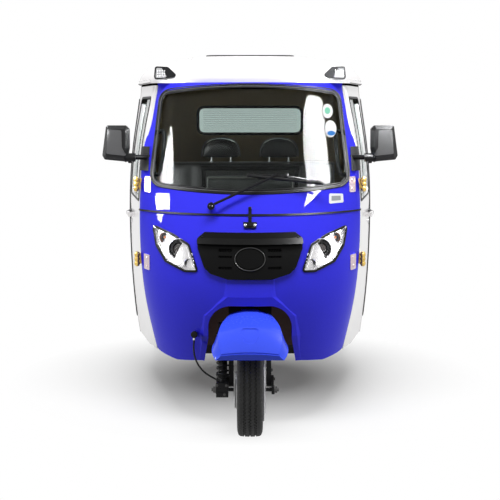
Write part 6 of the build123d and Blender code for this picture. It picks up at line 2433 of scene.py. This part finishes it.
@dataclass
class Studio:
    """White floor, soft lamps, reflection cards and the camera."""

    floor_half: float = 60.0
    fade_near: float = 0.30
    fade_far: float = 1.30
    sky: float = 0.14
    bounce: float = 0.20
    camera_place: Point = (0.0, -6.130, 1.441)
    camera_down_deg: float = 6.94
    focal_px: float = 1150.0
    frame_px: float = 500.0
    screen_foot_px: float = 190.0
    seam_px: float = 212.0
    lamps: tuple[Lamp, ...] = (
        Lamp("lamp_top", (0.0, -1.9, 4.4), (0.0, -0.8, 0.9), (3.6, 1.2), 185.0),
        Lamp("lamp_left", (-4.6, -0.9, 1.3), (0.0, -0.7, 0.8), (1.6, 2.2), 82.0),
        Lamp("lamp_right", (4.6, -0.9, 1.3), (0.0, -0.7, 0.8), (1.6, 2.2), 92.0),
        Lamp("lamp_back", (0.0, 4.6, 2.9), (0.0, 0.8, 0.8), (4.0, 2.0), 90.0),
    )
    cards: tuple[Card, ...] = (
        Card("card_screen_right",
             ((88.0, 313.0, 320.0), (95.0, 307.0, 321.0), (118.0, 303.0, 324.0), (142.0, 303.5, 326.5),
              (166.0, 305.5, 329.3), (188.0, 307.3, 331.0)), 170.0, 0.6),
        Card("card_screen_left", ((126.0, 170.6, 171.6), (146.0, 166.0, 173.2), (166.0, 162.5, 173.2),
                                  (186.0, 159.0, 172.8)), 170.0, 0.6),
        Card("card_nose_left", ((193.0, 156.0, 169.3), (201.0, 155.5, 170.0), (209.5, 156.5, 169.3)),
             115.0, 0.8),
        Card("card_nose_low", ((214.0, 156.6, 164.0), (222.5, 159.6, 160.6)), 90.0, 0.8),
    )

    def build(self) -> None:
        """Make the floor, the world, the lamps, the cards and the camera."""
        self.floor()
        self.world()
        for lamp in self.lamps:
            self.lamp(lamp)
        for card in self.cards:
            self.card(card)
        self.camera()
        bpy.context.scene.view_settings.view_transform = "Standard"

    def floor(self) -> None:
        """A pale floor that keeps the shadow near the wheels and fades to white further out."""
        mesh = bpy.data.meshes.new("studio_floor")
        half = self.floor_half
        corners = [(-half, -half, 0), (half, -half, 0), (half, half, 0), (-half, half, 0)]
        mesh.from_pydata(corners, [], [(0, 1, 2, 3)])
        floor = link("studio_floor", mesh)
        material = bpy.data.materials.new("studio_floor")
        material.use_nodes = True
        tree = material.node_tree
        shader = tree.nodes["Principled BSDF"]
        shader.inputs["Roughness"].default_value = 0.9
        shader.inputs["Specular IOR Level"].default_value = 0.1
        place = object_place(tree)
        tint = mix_colour(tree, noise(tree, place, 2.0), (0.84, 0.84, 0.84), (0.86, 0.86, 0.86))
        level = math_node(tree, "MAXIMUM", seen_rays(tree), self.bounce)
        tree.links.new(mix_colour(tree, level, (0.0, 0.0, 0.0), tint), shader.inputs["Base Color"])
        fade = remap(tree, vector_node(tree, "LENGTH", place).outputs["Value"], self.fade_near, self.fade_far)
        white = tree.nodes.new("ShaderNodeEmission")
        mix = tree.nodes.new("ShaderNodeMixShader")
        tree.links.new(math_node(tree, "MULTIPLY", seen_rays(tree), fade), mix.inputs[0])
        tree.links.new(shader.outputs[0], mix.inputs[1])
        tree.links.new(white.outputs[0], mix.inputs[2])
        tree.links.new(mix.outputs[0], tree.nodes["Material Output"].inputs["Surface"])
        mesh.materials.append(material)

    def world(self) -> None:
        """Soft light all round, plain white where the camera, gloss or glass sees it."""
        world = bpy.data.worlds.new("studio_world")
        world.use_nodes = True
        tree = world.node_tree
        back = tree.nodes["Background"]
        seen = math_node(tree, "MULTIPLY", seen_rays(tree), 1.0 - self.sky)
        tree.links.new(math_node(tree, "ADD", seen, self.sky), back.inputs["Strength"])
        back.inputs["Color"].default_value = (1.0, 1.0, 1.0, 1.0)
        bpy.context.scene.world = world

    def lamp(self, lamp: Lamp) -> None:
        """Place one lamp, hidden from gloss.

        Args:
            lamp: the lamp.
        """
        data = bpy.data.lights.new(lamp.name, "AREA")
        data.shape = "RECTANGLE"
        data.size, data.size_y = lamp.size
        data.energy = lamp.watts
        placed = link(lamp.name, data)
        placed.location = lamp.place
        placed.visible_glossy = False
        placed.rotation_euler = (Vector(lamp.target) - Vector(lamp.place)).to_track_quat("-Z", "Y").to_euler()

    def card(self, card: Card) -> None:
        """Stand one card where the camera's rays reflect to, seen by gloss alone.

        Args:
            card: the card.
        """
        grid = []
        for down, first, last in card.rows_px:
            row = []
            for step in range(5):
                place, normal, ray = self.seen_place(first + (last - first) * step / 4, down)
                row.append(place + ray.reflect(normal) * card.distance)
            grid.append(row)
        build = bmesh.new()
        skin_rings(build, grid, closed=False, capped=False)
        mesh = bpy.data.meshes.new(card.name)
        build.to_mesh(mesh)
        build.free()
        material = bpy.data.materials.new(card.name)
        material.use_nodes = True
        tree = material.node_tree
        tree.nodes.remove(tree.nodes["Principled BSDF"])
        glow = tree.nodes.new("ShaderNodeEmission")
        tint = mix_colour(tree, noise(tree, object_place(tree), 1.5), (1.0, 1.0, 1.0), (0.94, 0.97, 1.0))
        tree.links.new(tint, glow.inputs["Color"])
        glow.inputs["Strength"].default_value = card.strength
        tree.links.new(glow.outputs[0], tree.nodes["Material Output"].inputs["Surface"])
        mesh.materials.append(material)
        placed = link(card.name, mesh)
        placed.visible_camera = placed.visible_diffuse = False
        placed.visible_transmission = placed.visible_shadow = False

    def seen_place(self, across: float, down: float) -> tuple[Vector, Vector, Vector]:
        """Place on the nose or the pane under a pixel.

        Args:
            across: the pixel's column.
            down: its row.

        Returns:
            The place, the smoothed normal and the ray's direction.
        """
        tilt = Matrix.Rotation(math.radians(-self.camera_down_deg), 3, "X")
        middle = self.frame_px / 2
        flat = Vector(((across - middle) / self.focal_px, 1.0, (middle - down) / self.focal_px))
        ray = (tilt @ flat).normalized()
        eye = Vector(self.camera_place)
        if down < self.screen_foot_px:
            place = eye + ray * ((-0.8 - eye.y) / ray.y)
            for _ in range(4):
                place = eye + ray * ((PANE.depth(place.x, place.z) - eye.y) / ray.y)
            return place, PANE.front(place.x, place.z)[1], ray
        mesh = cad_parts["windscreen_frame" if down < self.seam_px else "nose_panel"].data
        tree = BVHTree.FromPolygons([vert.co for vert in mesh.vertices],
                                    [face.vertices for face in mesh.polygons])
        place, _, index, _ = tree.ray_cast(eye, ray)
        face = mesh.polygons[index]
        weights = poly_3d_calc([mesh.vertices[vert].co for vert in face.vertices], place)
        normal = Vector((0.0, 0.0, 0.0))
        for loop, weight in zip(face.loop_indices, weights):
            normal += mesh.corner_normals[loop].vector * weight
        return place, normal.normalized(), ray

    def camera(self) -> None:
        """A long lens in front of the nose, looking a little down."""
        data = bpy.data.cameras.new("camera")
        data.sensor_fit = "HORIZONTAL"
        data.sensor_width = 36.0
        data.lens = data.sensor_width * self.focal_px / self.frame_px
        data.clip_end = 200.0
        camera = link("camera", data)
        camera.location = self.camera_place
        camera.rotation_euler = (math.radians(90.0 - self.camera_down_deg), 0.0, 0.0)
        bpy.context.scene.camera = camera


def wheels() -> None:
    """Make the tyres and the wheels' fittings."""
    front = (0.0, FRONT_AXLE_Y, AXLE_Z)
    Tyre("tyre_front", "front_tyre", "front_wheel", front).build()
    Wheel("wheel_front", "front_wheel", front, 0.001, 1.0).build()
    for side in Side:
        word = side.word
        middle = (side.value * TRACK_HALF, REAR_AXLE_Y, AXLE_Z)
        Tyre("tyre_rear_" + word, "rear_tyre_" + word, "rear_wheel_" + word, middle).build()
        RearWheel("wheel_rear_" + word, "rear_wheel_" + word, middle, 0.019, side.value).build()


def main() -> None:
    """Build everything in order and report it."""
    logging.basicConfig(level=logging.INFO, format="%(name)s: %(message)s")
    dress_cad_nodes()
    for side in Side:
        Headlamp(side).build()
        Mirror(side).build()
        Door(side).build()
        BodySide(side).build()
    for part in (Grille(), Windscreen(), BonnetLatch(), FrontFork(), Handlebar(), BrakeHose(), Seats(),
                 Dashboard(), Roof(), Tail(), Underframe()):
        part.build()
    wheels()
    Studio().build()


if __name__ == "__main__":
    main()
